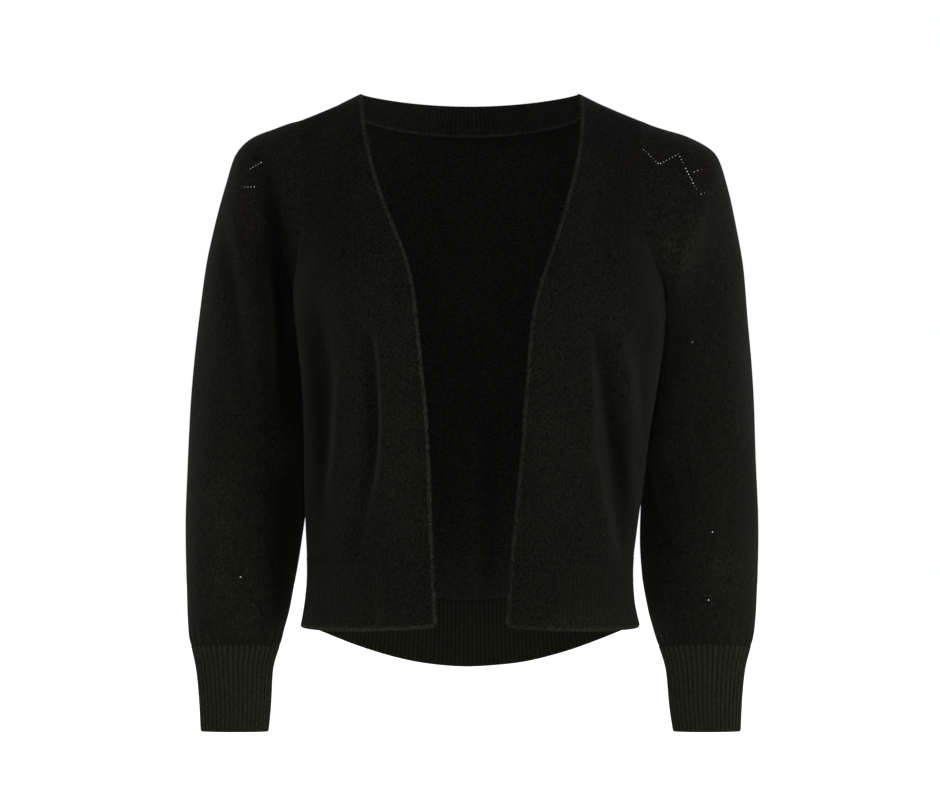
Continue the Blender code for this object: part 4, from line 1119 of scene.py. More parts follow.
def add_lips(shell, cloth_cells, sewn):
    """A rounded lip along every border of the cloth; sewn borders are nearly flat."""
    outer, inner = shell.skins
    away, ends = {}, []
    for row, column, side in border_edges(cloth_cells, shell.closed):
        right = column + 1
        runs = (((row, column), (row + 1, column)), ((row + 1, column), (row + 1, right)),
                ((row + 1, right), (row, right)), ((row, right), (row, column)))
        start, end = runs[side]
        step = ((0, 1), (-1, 0), (0, -1), (1, 0))[side]
        for spot in (start, end):
            key = (spot[0], spot[1] % shell.columns)
            inward = (key[0] + step[0], (key[1] + step[1]) % shell.columns)
            out = outer[key] - outer[inward]
            away[key] = away.get(key, 0) + out / max(np.linalg.norm(out), 1e-9)
        ends.append((start, end))
    lips = {}
    for key, out in away.items():
        half = np.linalg.norm(outer[key] - inner[key]) / 2
        reach = half * (SEWN_LIP if sewn[key] else 1.0)
        way = unit(out)
        ring = []
        for step in range(1, LIP_STEPS):
            turn = math.pi * step / LIP_STEPS
            share = (1 - math.cos(turn)) / 2
            ring.append(outer[key] * (1 - share) + inner[key] * share + way * reach * math.sin(turn))
        index = key[0] * shell.columns + key[1]
        first = shell.add_points(ring)
        lips[key] = [index] + list(range(first, first + LIP_STEPS - 1)) + [index + shell.inner_start]
    for start, end in ends:
        places = [shell.cloth[spot] for spot in (start, end)]
        chains = [lips[(spot[0], spot[1] % shell.columns)] for spot in (start, end)]
        for step in range(LIP_STEPS):
            shell.add_face([chains[1][step], chains[0][step], chains[0][step + 1], chains[1][step + 1]],
                           [places[1], places[0], places[0], places[1]], False)


def make_cloth(name, outer, inner, cloth, finish, seam, sewn, shade=(0.0, 0.0), closed=False, cells=None,
               eyelets=()):
    """A shell of cloth; finish and shade are for its outside and inside, seam is the distance from a seam."""
    across = outer.shape[1] if closed else outer.shape[1] - 1
    cloth_cells = np.ones((outer.shape[0] - 1, across), bool) if cells is None else cells
    whole = cloth_cells.copy()
    for eyelet in eyelets:
        whole[eyelet.row, eyelet.column] = False
    shell = Shell(outer, inner, cloth, closed)
    add_skins(shell, whole)
    for eyelet in eyelets:
        add_eyelet(shell, eyelet)
    add_lips(shell, cloth_cells, sewn)

    points = np.concatenate(shell.points)
    seam_values = np.full(len(points), FAR)
    seam_values[:2 * shell.inner_start] = np.tile(seam.reshape(-1), 2)
    shade_values = np.zeros(len(points))
    for skin, share in enumerate(shade):
        first = skin * shell.inner_start
        shares = np.broadcast_to(np.maximum(share, DARKEST_SHADE), seam.shape)
        shade_values[first:first + shell.inner_start] = shares.reshape(-1)
    edge_points = np.concatenate([np.array(face) for face in shell.faces])
    used = np.zeros(len(points), bool)
    used[edge_points] = True
    numbers = np.cumsum(used) - 1
    openwork = np.zeros(len(points))
    for number, lit in shell.open_points:
        openwork[number] = lit

    mesh = bpy.data.meshes.new(name)
    mesh.from_pydata(points[used].tolist(), [], [[int(numbers[v]) for v in face] for face in shell.faces])
    layer = mesh.uv_layers.new(name="cloth")
    layer.data.foreach_set("uv", np.array(shell.places, dtype=np.float32).reshape(-1))
    mesh.polygons.foreach_set("material_index", np.array(shell.insides, dtype=np.int32))
    for label, values in (("seam", seam_values), ("openwork", openwork), ("shade", shade_values)):
        data = mesh.attributes.new(label, "FLOAT", "POINT")
        data.data.foreach_set("value", values[used].astype(np.float32))
    mesh.shade_smooth()
    for material in finish:
        mesh.materials.append(material)
    mesh.update()
    built = bpy.data.objects.new(name, mesh)
    shrug.objects.link(built)
    triangles = sum(len(face) - 2 for face in shell.faces)
    print(f"{name}: {triangles} triangles, {len(eyelets)} eyelets")
    return built


# %% [markdown]
# ## Sizes of the flat pieces
#
# Each piece of cloth has a flat cut, as a maker would knit it: its widest row by its longest column, and the
# area inside. It is measured on the smooth form before ribs are raised. The same measurements give the map of
# stitches, so a stitch is the same size wherever it lies.

# %% Measuring
SETTLE_REACH = 0.012
Cut = namedtuple("Cut", "width length area")
cuts = {}


def row_lengths(points):
    """Distance along each row from its first point."""
    steps = np.linalg.norm(np.diff(points, axis=1), axis=2)
    return np.concatenate((np.zeros((len(points), 1)), np.cumsum(steps, axis=1)), axis=1)


def column_lengths(points):
    """Distance down each column from its first point."""
    steps = np.linalg.norm(np.diff(points, axis=0), axis=2)
    return np.concatenate((np.zeros((1, points.shape[1])), np.cumsum(steps, axis=0)), axis=0)


def measure_cut(name, points, cells=None):
    """The flat cut of a piece: widest row, longest column, and area."""
    first, second = points[1:, :-1] - points[:-1, 1:], points[1:, 1:] - points[:-1, :-1]
    areas = np.linalg.norm(np.cross(first, second), axis=2) / 2
    area = float(np.sum(areas if cells is None else areas[cells]))
    width = float(row_lengths(points)[:, -1].max())
    length = float(column_lengths(points)[-1].max())
    cuts[name] = Cut(width, length, min(area, width * length))
    return cuts[name]


def flat_map(points, start=0.0):
    """Each point's place on the flat cloth, in metres."""
    return np.stack([row_lengths(points) + start, column_lengths(points)], axis=-1)


def join_halves(left, right):
    """Each grid of the left half, turned round and joined to that of the right half at the centre."""
    return (np.concatenate((first[:, :0:-1], second), axis=1) for first, second in zip(left, right))


def sewn_borders(points, sides=("top", "left", "right")):
    """True along the borders of a piece that are sewn to another."""
    sewn = np.zeros(points.shape[:2], bool)
    places = {"top": np.s_[0], "foot": np.s_[-1], "left": np.s_[:, 0], "right": np.s_[:, -1]}
    for side in sides:
        sewn[places[side]] = True
    return sewn


def settle(directions, distance, shared):
    """Directions that become the shared one at a seam."""
    share = ease(distance / SETTLE_REACH)[..., None]
    return unit(shared * (1 - share) + directions * share)


print("cut sizes are kept in metres")

# %% [markdown]
# ## The back
#
# The back is one piece from side seam to side seam. Its top edge is the neck seam in the middle and the
# shoulder seams at each end. Near each seam the cloth's direction turns smoothly to the one its neighbour
# has, so the two meet without a step.

# %% The back
YOKE_STEPS = 64
BODY_STEPS = 60
NECK_STEPS = 44
SHOULDER_STEPS = 14
UNDER_NECK_SHADOW = 0.35  # painted shadow on the inside just under the neck seam
UNDER_NECK_REACH = 0.0022
YOKE_DOWNS = (1 - np.cos(np.linspace(0, math.pi, YOKE_STEPS + 1))) / 2
BODY_DOWNS = np.linspace(1, RIB_TOP, BODY_STEPS + 1)[1:]


def neck_band_seam(side, turns):
    """Points of the neck seam and the direction that its two walls share."""
    step = 1e-3
    points = np.stack(neck_seam(turns), axis=-1) * (side, 1, 1)
    ahead = np.stack(neck_seam(np.minimum(turns + step, 1)), axis=-1)
    behind = np.stack(neck_seam(np.maximum(turns - step, 0)), axis=-1)
    tangent = unit(ahead - behind) * (side, 1, 1)
    below = grid(back_row, side, [0.06], [turns * NECK_SHARE])[0]
    downward = unit(unit(points - neck_top(side, turns)) + unit(below - points))
    shared = unit(np.cross(tangent, downward))
    shared *= np.where(np.sum(shared * (points - (0, 0, -0.10)), axis=1) > 0, 1, -1)[:, None]
    share = ease((turns - 0.8) / 0.2)[:, None]
    shared = unit(shared * (1 - share) + ridge_direction(side) * share)
    shared[turns == 0, 0] = 0
    return points, unit(shared)


def armhole_column(side, face):
    """The armhole seam at each row of a front or of the back."""
    angles = np.linspace(0, math.pi, YOKE_STEPS + 1) * (1 if face == FRONT else -1) % (2 * math.pi)
    return armhole_seam(side, angles)


def body_half(row, side, downs, acrosses, outward, top_points, top_directions, piece):
    """Points and directions of a body piece from its centre or front edge to the armhole and side seam."""
    points = grid(row, side, np.maximum(downs, 1e-4), acrosses)
    points[0] = top_points
    directions = body_normals(row, side, np.clip(downs, 1e-3, 2), acrosses, outward)
    from_top = column_lengths(points)
    from_side = row_lengths(points)
    from_side = from_side[:, -1:] - from_side
    seam_points, seam_directions = armhole_column(side, outward)
    points[:YOKE_STEPS + 1, -1] = seam_points
    side_directions = directions[:, -1].copy()
    side_directions[:YOKE_STEPS + 1] = seam_directions
    side_directions[YOKE_STEPS + 1:, 1] = 0
    directions = settle(directions, from_top, top_directions[None])
    directions = settle(directions, from_side, unit(side_directions)[:, None])
    directions[0, :-1] = top_directions[:-1]
    lift, paler = folds(piece, points, directions[..., 1])
    lift = (lift + slow_waves(points)) * ease(from_top / CALM) * ease(from_side / CALM)
    return points + directions * lift[..., None], directions, from_top, from_side, paler


def make_back():
    """The back, as two halves that are joined at the centre."""
    downs = np.concatenate((YOKE_DOWNS, BODY_DOWNS))
    neck_part = np.linspace(0, NECK_SHARE, NECK_STEPS + 1)
    half = np.concatenate((neck_part, np.linspace(NECK_SHARE, 1, SHOULDER_STEPS + 1)[1:]))
    halves = []
    for side in (LEFT, RIGHT):
        top = np.stack(back_top(half), axis=-1) * (side, 1, 1)
        directions = np.tile(ridge_direction(side), (len(half), 1))
        seam, shared = neck_band_seam(side, np.linspace(0, 1, NECK_STEPS + 1))
        top[:NECK_STEPS + 1], directions[:NECK_STEPS + 1] = seam, shared
        points, directions, from_top, from_side, paler = body_half(
            back_row, side, downs, [half] * len(downs), BACK, top, directions, "back")
        directions[:, 0, 0] = 0
        directions = unit(directions)
        # Painted shade and light from the creases, and a painted shadow just under the neck seam.
        shade = paler - UNDER_NECK_SHADOW * ease(1 - from_top / UNDER_NECK_REACH)
        halves.append((points, points - directions * CLOTH, np.minimum(from_side, FAR), shade))
    outer, inner, seam, shade = join_halves(*halves)
    sewn = sewn_borders(outer, ("top", "foot", "left", "right"))
    measure_cut("back", outer)
    return make_cloth("shrug_back", outer, inner, flat_map(outer), (body_outside, body_inside), seam, sewn,
                      shade=(0.0, shade))


back = make_back()

# %% [markdown]
# ## Ribs
#
# Ribbing is knit with alternate columns of plain and purl stitches, so it pulls together into upright rolls
# with furrows between, alike on both faces. A flat band with a striped bump would do far off, but the edge of
# a cuff or hem shows the rolls in outline, so they are modelled: each rib is eight columns of points, and the
# inside is the outside moved half a rib along. The last two millimetres flatten where the edge is finished.
# The furrows carry painted shade. The neck seam's allowance is turned up behind the band as a raised line,
# which carries a painted highlight.

# %% Ribs
RIB_POINTS = 8
NECK_RIB_PITCH = 0.0037
HEM_RIB_PITCH = 0.0042
CUFF_RIBS = 40
RIB_DEPTH = 0.00050
RIB_ROUNDNESS = 2.6  # 1 is a sharp zigzag
FINISHED_DEPTH = 0.25  # the share of a rib's depth that is left at a free edge
FRONT_RIB_DEPTH = 0.00020
RIB_SETTLE = 0.002
# painted shade in the furrows between ribs
FURROW_SHADE = 0.60
NECK_RIB_DEPTH = RIB_DEPTH * 0.9
NECK_FURROW_SHADE = 0.6 * FURROW_SHADE
NECK_DOWNS = np.concatenate(([0, 0.02, 0.05, 0.09], np.linspace(0.14, 0.84, 9), np.linspace(0.87, 1, 8)))
RIDGE_HEIGHT = 0.0008
RIDGE_PLACE = 0.0019
RIDGE_HALF = 0.0019
# painted highlight on the raised neck seam allowance
RIDGE_HIGHLIGHT = 0.75


def rib_wave(columns, shift=0.0):
    """Height across ribbing, from -1 in a furrow to 1 on a rib."""
    t = (np.arange(columns) / RIB_POINTS + shift) % 1.0
    return 1 - 2 * np.abs(2 * t - 1) ** RIB_ROUNDNESS


def rib_skins(points, directions, depth, from_free, darker):
    """Outer and inner skins of a ribbed piece, whose ribs flatten near its free edge, and the painted shade in
    their furrows.
    """
    depths = depth * (FINISHED_DEPTH + (1 - FINISHED_DEPTH) * ease(from_free / RIB_SETTLE))
    columns = points.shape[1]
    outer_lift = depths * rib_wave(columns)[None]
    inner_lift = depths * rib_wave(columns, 0.5)[None]
    outer = points + directions * outer_lift[..., None]
    inner = points - directions * (CLOTH + inner_lift)[..., None]
    even = np.ones(depths.shape)
    shades = tuple(-darker / 2 * (1 - rib_wave(columns, shift)) * even for shift in (0.0, 0.5))
    return outer, inner, shades


def rib_map(points, pitch):
    """Stitch places on ribbing: a rib is one pitch wide, whatever the row's length."""
    columns = points.shape[1]
    across = np.tile(np.arange(columns) * pitch / RIB_POINTS, (len(points), 1))
    return np.stack([across, column_lengths(points)], axis=-1)


def make_neck_band():
    """The ribbed band round the back of the neck, from shoulder seam to shoulder seam."""
    half_length = 1.15 * math.pi / 4 * (NECK_HALF_WIDTH + NECK_SEAM_DEPTH)
    columns = RIB_POINTS * round(half_length / NECK_RIB_PITCH)
    turns = np.linspace(0, 1, columns + 1)
    downs = NECK_DOWNS[:, None, None]
    halves = []
    for side in (LEFT, RIGHT):
        seam, shared = neck_band_seam(side, turns)
        top = neck_top(side, turns)
        points = top[None] * (1 - downs) + seam[None] * downs
        points[:, -1, 1] = 0
        halves.append((points, np.tile(shared, (len(downs), 1, 1))))
    points, directions = join_halves(*halves)
    from_top = column_lengths(points)
    outer, inner, shade = rib_skins(points, directions, NECK_RIB_DEPTH, from_top, NECK_FURROW_SHADE)
    seam = from_top[-1:] - from_top
    ridge = ease(1.6 - 1.6 * np.abs(seam - RIDGE_PLACE) / RIDGE_HALF)
    inner -= directions * (RIDGE_HEIGHT * ridge)[..., None]
    # The raised allowance carries a painted highlight in place of the furrows' painted shade.
    shade = (shade[0], shade[1] * (1 - ridge) + RIDGE_HIGHLIGHT * ridge)
    sewn = sewn_borders(points, ("foot", "left", "right"))
    measure_cut("neck_band", points)
    return make_cloth("shrug_neck_band", outer, inner, rib_map(points, NECK_RIB_PITCH),
                      (hem_rib, neck_rib_inside), np.full(seam.shape, FAR), sewn, shade=shade)


neck_band = make_neck_band()

# %% The back hem
HEM_STEPS = 19
HEM_DOWNS = np.concatenate((np.linspace(RIB_TOP, 1.985, HEM_STEPS), (1.990, 1.995, 1.998, 2.0)))


def row_of(row, side, down):
    """A finely divided row and its length."""
    points = row(side, down, np.linspace(0, 1, 200))
    return points, lengths_along(points)[-1]


def hem_half(row, side, outward, facing, piece):
    """A hem from the centre, or from a facing strip, to the side seam; the last result is the creases' painted
    light, below zero for painted shade.
    """
    columns = RIB_POINTS * round((row_of(row, side, 1.9)[1] - facing) / HEM_RIB_PITCH)
    acrosses = [np.linspace(facing / row_of(row, side, down)[1], 1, columns + 1) for down in HEM_DOWNS]
    points = grid(row, side, HEM_DOWNS, acrosses)
    directions = body_normals(row, side, HEM_DOWNS, acrosses, outward)
    if facing == 0:
        directions[:, 0, 0] = 0
    from_side = row_lengths(points)
    from_side = from_side[:, -1:] - from_side
    side_directions = directions[:, -1] * (1, 0, 1)
    directions = settle(unit(directions), from_side, unit(side_directions)[:, None])
    lift, paler = folds(piece, points, directions[..., 1])
    lift = (lift + slow_waves(points)) * ease(from_side / CALM)
    return points + directions * lift[..., None], directions, from_side, paler


def make_hem_back():
    """The ribbed hem of the back, from side seam to side seam."""
    halves = [hem_half(back_row, side, BACK, 0.0, "back")[:2] for side in (LEFT, RIGHT)]
    points, directions = join_halves(*halves)
    from_top = column_lengths(points)
    outer, inner, shade = rib_skins(points, directions, RIB_DEPTH, from_top[-1:] - from_top, FURROW_SHADE)
    measure_cut("hem_rib_back", points)
    return make_cloth("shrug_hem_rib_back", outer, inner, rib_map(points, HEM_RIB_PITCH),
                      (hem_rib, hem_rib_inside), from_top, sewn_borders(points), shade=shade)


hem_back = make_hem_back()

# %% [markdown]
# ## The fronts
#
# Each front is L-shaped: the plain strip along its front edge runs on down to the hem beside the ribbed part.
# The front edge is bound off and rolls a little into a fine bead with a shallow groove inside it; the bead
# carries a painted highlight. Closely spaced columns beside the edge carry that bead, and spacing grows to a
# few millimetres where the cloth is plain. The corner at the foot is rounded, as knitted corners are.

# %% The fronts
EDGE_STEPS = np.array([0, 0.0005, 0.0010, 0.0016, 0.0023, 0.0030, 0.0038, 0.0048, 0.0062, 0.0090])
BEAD_HEIGHT = 0.00055
BEAD_HALF = 0.0018
GROOVE_DEPTH = 0.00025
GROOVE_PLACE = 0.0047
GROOVE_WIDTH = 0.0011
HIGHLIGHT_REACH, HIGHLIGHT_FADE = 0.0037, 0.0014  # the painted highlight's distance from the edge, and where it blends in
Highlight = namedtuple("Highlight", "z left right")
# painted highlight on the rolled front edge, by height, for the left and right front
BEAD_HIGHLIGHT = (
    Highlight(0.0, 1.90, 1.70),
    Highlight(-0.15, 1.80, 1.30),
    Highlight(-0.25, 1.60, 0.90),
    Highlight(-0.51, 1.60, 0.80),
)
# painted light on the fronts near the hem
HEM_PALER = 0.25
HEM_PALER_REACH = 0.03
STRIP_STEPS = 16
FRONT_STEPS = 58


def edge_bead(distance):
    """How much thicker the cloth is on each face at a distance from a bound-off edge."""
    inside = np.clip(1 - ((distance - BEAD_HALF) / BEAD_HALF) ** 2, 0, 1)
    groove = np.exp(-((distance - GROOVE_PLACE) / GROOVE_WIDTH) ** 2)
    return BEAD_HEIGHT * np.sqrt(inside) - GROOVE_DEPTH * groove


def edge_highlight(side, points, distance):
    """The painted highlight on the roll of a bound-off edge, at each point's distance from it."""
    paler = read(BEAD_HIGHLIGHT, "z", name_of(side), points[..., 2])
    return paler * ease((HIGHLIGHT_REACH - distance) / HIGHLIGHT_FADE)


def edge_distances(length):
    """Distances from a front edge to the armhole, close together near the edge and near the facing's end."""
    strip = np.concatenate((EDGE_STEPS, np.linspace(EDGE_STEPS[-1], FACING_WIDTH, STRIP_STEPS + 1)[1:]))
    if length < 1.25 * FACING_WIDTH:
        strip = strip * (0.8 * length / FACING_WIDTH)
    rest = np.linspace(strip[-1], length, FRONT_STEPS + 1)[1:]
    return np.concatenate((strip, rest))


def front_hem_downs(side):
    """Rows from the top of the rib to the hem, closer together near the hem's bound-off edge."""
    top, foot = (float(front_row(side, down, np.array([0.0]))[0, 2]) for down in (RIB_TOP, 2.0))
    height = top - foot
    close = RIB_TOP + (2 - RIB_TOP) * (1 - EDGE_STEPS[::-1] / height)
    return np.concatenate((np.linspace(RIB_TOP, close[0], 15)[1:-1], close))


def round_corner(points, from_edge):
    """Lifts the foot of the cloth near the front edge to a round corner."""
    radius = HEM_CORNER
    near = np.clip(radius - from_edge, 0, radius)
    rise = radius - np.sqrt(np.maximum(radius**2 - near**2, 0))
    height = points[..., 2] - points[-1:, :, 2]
    points[..., 2] += rise * np.clip(1 - height / (3 * radius), 0, 1) ** 1.5


def make_front(side):
    """A front and the plain strip that runs down to the hem beside the rib."""
    name = f"front_{name_of(side)}"
    hem_downs = front_hem_downs(side)
    downs = np.concatenate((YOKE_DOWNS, BODY_DOWNS, hem_downs))
    acrosses = []
    for down in downs:
        length = row_of(front_row, side, max(down, 1e-4))[1]
        acrosses.append(edge_distances(length) / length)
    top = front_row(side, 1e-4, acrosses[0]) * (1, 0, 1)
    top_directions = np.tile(ridge_direction(side), (len(top), 1))
    points, directions, from_top, from_side, paler = body_half(
        front_row, side, downs, acrosses, FRONT, top, top_directions, name)
    from_edge = row_lengths(points)
    round_corner(points, from_edge)
    from_hem = column_lengths(points[::-1])[::-1]
    bead = edge_bead(from_edge)
    in_strip = np.arange(points.shape[1]) <= len(EDGE_STEPS) + STRIP_STEPS - 1
    bead = np.maximum(bead, np.where(in_strip[None], edge_bead(from_hem), 0))
    bead *= ease(from_top / 0.006)
    # Painted highlight on the rolled edges, and painted shade and light from the creases.
    shade = edge_highlight(side, points, from_edge)
    shade = np.maximum(shade, np.where(in_strip[None], edge_highlight(side, points, from_hem), 0)) + paler
    # Painted light near the hem.
    shade += HEM_PALER * ease(1 - from_hem / HEM_PALER_REACH) * in_strip[None]
    outer = points + directions * bead[..., None]
    inner = points - directions * (CLOTH + 0.7 * bead)[..., None]
    seam_row = YOKE_STEPS + BODY_STEPS
    strip = len(EDGE_STEPS) + STRIP_STEPS - 1
    cells = np.ones((len(downs) - 1, points.shape[1] - 1), bool)
    cells[seam_row:, strip:] = False
    below = np.arange(len(downs))[:, None] >= seam_row
    from_rib = np.abs(from_edge[:, strip:strip + 1] - from_edge)
    from_rib_top = np.abs(from_top - from_top[seam_row:seam_row + 1])
    above_rib = np.where(in_strip[None], FAR, from_rib_top)
    seam = np.minimum(np.minimum(from_top, from_side), above_rib)
    seam = np.where(below, np.minimum(from_rib, FAR), seam)
    sewn = np.zeros(seam.shape, bool)
    sewn[0] = sewn[:, -1] = True
    sewn[seam_row, strip:] = sewn[seam_row:, strip] = True
    measure_cut(name, points, cells)
    return make_cloth(f"shrug_{name}", outer, inner, flat_map(points), (body_outside, body_inside),
                      seam, sewn, shade=(shade, 0.0), cells=cells)


fronts = {side: make_front(side) for side in (LEFT, RIGHT)}


# %% The front hems
def make_hem_front(side):
    """The ribbed hem of a front, from the plain strip to the side seam."""
    piece = f"front_{name_of(side)}"
    points, directions, from_side, paler = hem_half(front_row, side, FRONT, FACING_WIDTH, piece)
    from_strip = from_side[:, :1] - from_side
    from_top = column_lengths(points)
    from_foot = from_top[-1:] - from_top
    outer, inner, shades = rib_skins(points, directions, FRONT_RIB_DEPTH, from_foot, 0.35 * FURROW_SHADE)
    # Painted shade in the rib furrows, painted shade and light from the creases, and a painted highlight on
    # the rolled foot.
    shade = shades[0] + paler + edge_highlight(side, points, from_foot)
    # Painted light near the hem.
    shade += HEM_PALER * ease(1 - from_foot / HEM_PALER_REACH)
    bead = 0.6 * edge_bead(from_foot)
    outer += directions * bead[..., None]
    inner -= directions * bead[..., None]
    seam = np.minimum(np.minimum(from_top, from_strip), from_side)
    measure_cut(f"hem_rib_{piece}", points)
    return make_cloth(f"shrug_hem_rib_{piece}", outer, inner, rib_map(points, HEM_RIB_PITCH),
                      (hem_rib, hem_rib_inside), seam, sewn_borders(points), shade=(shade, shades[1]))


hem_fronts = {side: make_hem_front(side) for side in (LEFT, RIGHT)}

# %% [markdown]
# ## The sleeves
#
# The openwork is a knitter's simple zigzag: a yarn-over and a decrease make one small eyelet, moved one
# stitch along in each row, so a line of them slants, turns and slants back. Light shines through only where
# an eyelet of the far side of the sleeve lies behind one in front, as it does on the right shoulder.

# %% Sleeve grid
SLEEVE_COLUMNS = 160
SLEEVE_ROWS = 230
GATHER_HEIGHT = 0.0006
GATHERS = 26
GATHER_REACH, GATHER_START = 0.016, 0.004  # how far the gathers run up from the cuff, and how soon they begin
BUNCHING = 0.22  # how much closer together columns are on the outside of the arm
FIRST_ROW, ROW_GROWTH = 0.84, 0.16  # the height of the first row against the mean, and what later rows gain


def sleeve_numbers():
    """Ring numbers of the rows, a little closer together at the shoulder than at the cuff."""
    numbers = np.linspace(0, CUFF_RING, 600)
    track = np.stack([sleeve_ring(RIGHT, number, np.array([0.9]))[0] for number in numbers])
    lengths = lengths_along(track)
    ways = np.linspace(0, 1, SLEEVE_ROWS + 1)
    return np.interp((FIRST_ROW + ROW_GROWTH * ways) * ways * lengths[-1], lengths, numbers)


def sleeve_angles():
    """Angles of the columns, closer together on the outside of the arm, where the openwork shows."""
    turns = np.linspace(0, 2 * math.pi, SLEEVE_COLUMNS, endpoint=False)
    return turns - BUNCHING * np.sin(turns)


def sleeve_skins(side):
    """Outer and inner skins of a sleeve, its flat map, and its distance from a seam."""
    name = f"sleeve_{name_of(side)}"
    angles = sleeve_angles()
    numbers = sleeve_numbers()
    points = np.stack([sleeve_ring(side, number, angles) for number in numbers])
    directions = np.stack([sleeve_normals(side, number, angles) for number in numbers])
    points[0], shared = armhole_seam(side, angles)
    from_armhole = column_lengths(points)
    from_cuff = from_armhole[-1:] - from_armhole
    directions = settle(directions, from_armhole, shared[None])
    lift, paler = folds(name, points, directions[..., 1])
    lift = (lift + slow_waves(points)) * ease(from_armhole / FOLD_CLEAR) * ease(from_cuff / CALM)
    gather = np.sin(angles * GATHERS + 1.3 * np.sin(3 * angles)) * ease(from_cuff / GATHER_START)
    lift += GATHER_HEIGHT * gather * np.exp(-(from_cuff / GATHER_REACH) ** 2)
    points = points + directions * lift[..., None]
    inner = points - directions * CLOTH
    loop = np.concatenate((points, points[:, :1]), axis=1)
    measure_cut(name, loop)
    mean_row = row_lengths(loop).mean(axis=0)
    girth = STITCH_WIDTH * round(mean_row[-1] / STITCH_WIDTH)
    across = np.tile(mean_row * girth / mean_row[-1], (len(points), 1))
    down = np.concatenate((from_armhole, from_armhole[:, :1]), axis=1)
    return points, inner, np.stack([across, down], axis=-1), np.minimum(from_armhole, from_cuff), paler


# %% [markdown]
# The zigzags run down the arm in broken lines that turn every eight rows. A table lists the strokes that
# show best, as seen from the front on the plane of the shoulders; the rest follow the grid. Under the
# listed strokes the grid slides along the cloth until its cells are centred on them, and the cloth is
# thinner, so that a small hole can be seen through at a slant. On an open stroke every eyelet has one behind
# it; elsewhere the two layers never line up. All eyelets are kept clear of the seams.

# %% Openwork
LINES = 6
LINE_PHASES = (0, 5, 11, 19, 24, 30)  # how many rows early each line starts
STROKE = 8
EYELET_RADIUS = 0.00092
OPEN_RADIUS = 0.00062
EYELET_THINNESS = 0.40  # the share of the cloth's thickness left round an eyelet of a listed stroke
EYELET_PITCH = 0.0031
EYELET_ROOM = 0.0036  # the least distance from a grid eyelet to one in the other layer or to a stroke
EYELET_SWAY = (0.38, 0.62)  # how far from its cell's middle an eyelet may sit
WIDEST_EYELET = 0.40  # its radius as a share of its cell's width
RADIUS_RANGE, TONE_RANGE = (0.88, 1.0), (0.4, 1.0)  # no two eyelets are quite alike
EDGE_ON = 0.12  # cloth turned further from the camera than this takes no eyelets of the listed strokes
CLEAR_SEAM = 0.005
FAINT, PLAIN, PALE = 0.06, 0.45, 0.9  # how much painted light lies on the yarn round an eyelet

Stroke = namedtuple("Stroke", "open pale path")  # whether light shows through, the painted light round its eyelets, millimetres
STROKES = {
    RIGHT: (
        (True, FAINT, ((165, -53), (179.5, -66.8), (198.1, -57), (216.1, -93.1))),
        (True, FAINT, ((213, -74), (222.8, -70.3))),
        (True, FAINT, ((219.5, -95), (232.3, -90.3))),
        (False, PALE, ((219, -166.3), (243.7, -191))),
        (False, PLAIN, ((227.5, -201.4), (244.6, -222.3))),
        (False, PALE, ((202.8, -209), (239.9, -234.7))),
        (True, PLAIN, ((211.4, -235.6), (212, -235.8))),
        (False, PLAIN, ((202.8, -262.2), (212.3, -271.7))),
        (False, PLAIN, ((218, -307), (236, -325))),
        (True, PLAIN, ((230.4, -416.1), (230.8, -416.3))),
        (False, PALE, ((227.5, -448.4), (241.8, -436.1), (253.2, -447.5))),
        (False, PALE, ((243.7, -458.9), (226.6, -480.7), (238, -493.1), (230.4, -507.3))),
        (True, PLAIN, ((226.6, -480.7), (227, -481))),
    ),
    LEFT: (
        (True, PLAIN, ((-217.1, -88.4), (-201.9, -88))),
        (False, PALE, ((-217.1, -96.9), (-201.9, -96.2))),
        (True, PLAIN, ((-208.5, -71), (-196.2, -63.7))),
        (False, PALE, ((-218, -458.9), (-209, -449))),
        (True, PLAIN, ((-218, -458.9), (-217.6, -458.5))),
        (False, PLAIN, ((-233, -423), (-230.4, -418))),
        (False, PLAIN, ((-235, -453), (-230, -446))),
        (False, PLAIN, ((-204, -354), (-198, -347))),
    ),
}


def zigzag_cells():
    """Lattice cells of the broken zigzags, as row and column."""
    spacing = SLEEVE_COLUMNS / LINES
    found = []
    for line in range(LINES):
        phase = LINE_PHASES[line]
        for row in range(SLEEVE_ROWS):
            stroke, step = divmod(row + phase, STROKE)
            if stroke % 4 > 1:
                continue
            out = step if stroke % 2 == 0 else STROKE - step
            found.append((row, int(line * spacing + out) % SLEEVE_COLUMNS))
    return found


def in_view(points):
    """Where points lie as seen from the camera, on the plane through the shoulders."""
    scale = CAMERA_DISTANCE / (CAMERA_DISTANCE + points[..., 1])
    heights = CAMERA_HEIGHT + (points[..., 2] - CAMERA_HEIGHT) * scale
    return np.stack([points[..., 0] * scale, heights], axis=-1)


def cell_centres(skin):
    """The middle of every cell of a closed grid."""
    loop = np.concatenate((skin, skin[:, :1]), axis=1)
    return (loop[:-1, :-1] + loop[:-1, 1:] + loop[1:, :-1] + loop[1:, 1:]) / 4


def place_in_cell(target, cell, middle):
    """Where in a cell of the grid a place in view lies: 0 to 1 along and down."""
    row, column = cell
    corner = in_view(middle[row, column])
    along = in_view(middle[row, (column + 1) % SLEEVE_COLUMNS]) - corner
    down = in_view(middle[row + 1, column]) - corner
    return np.linalg.lstsq(np.stack([along, down], axis=1), target - corner, rcond=None)[0]


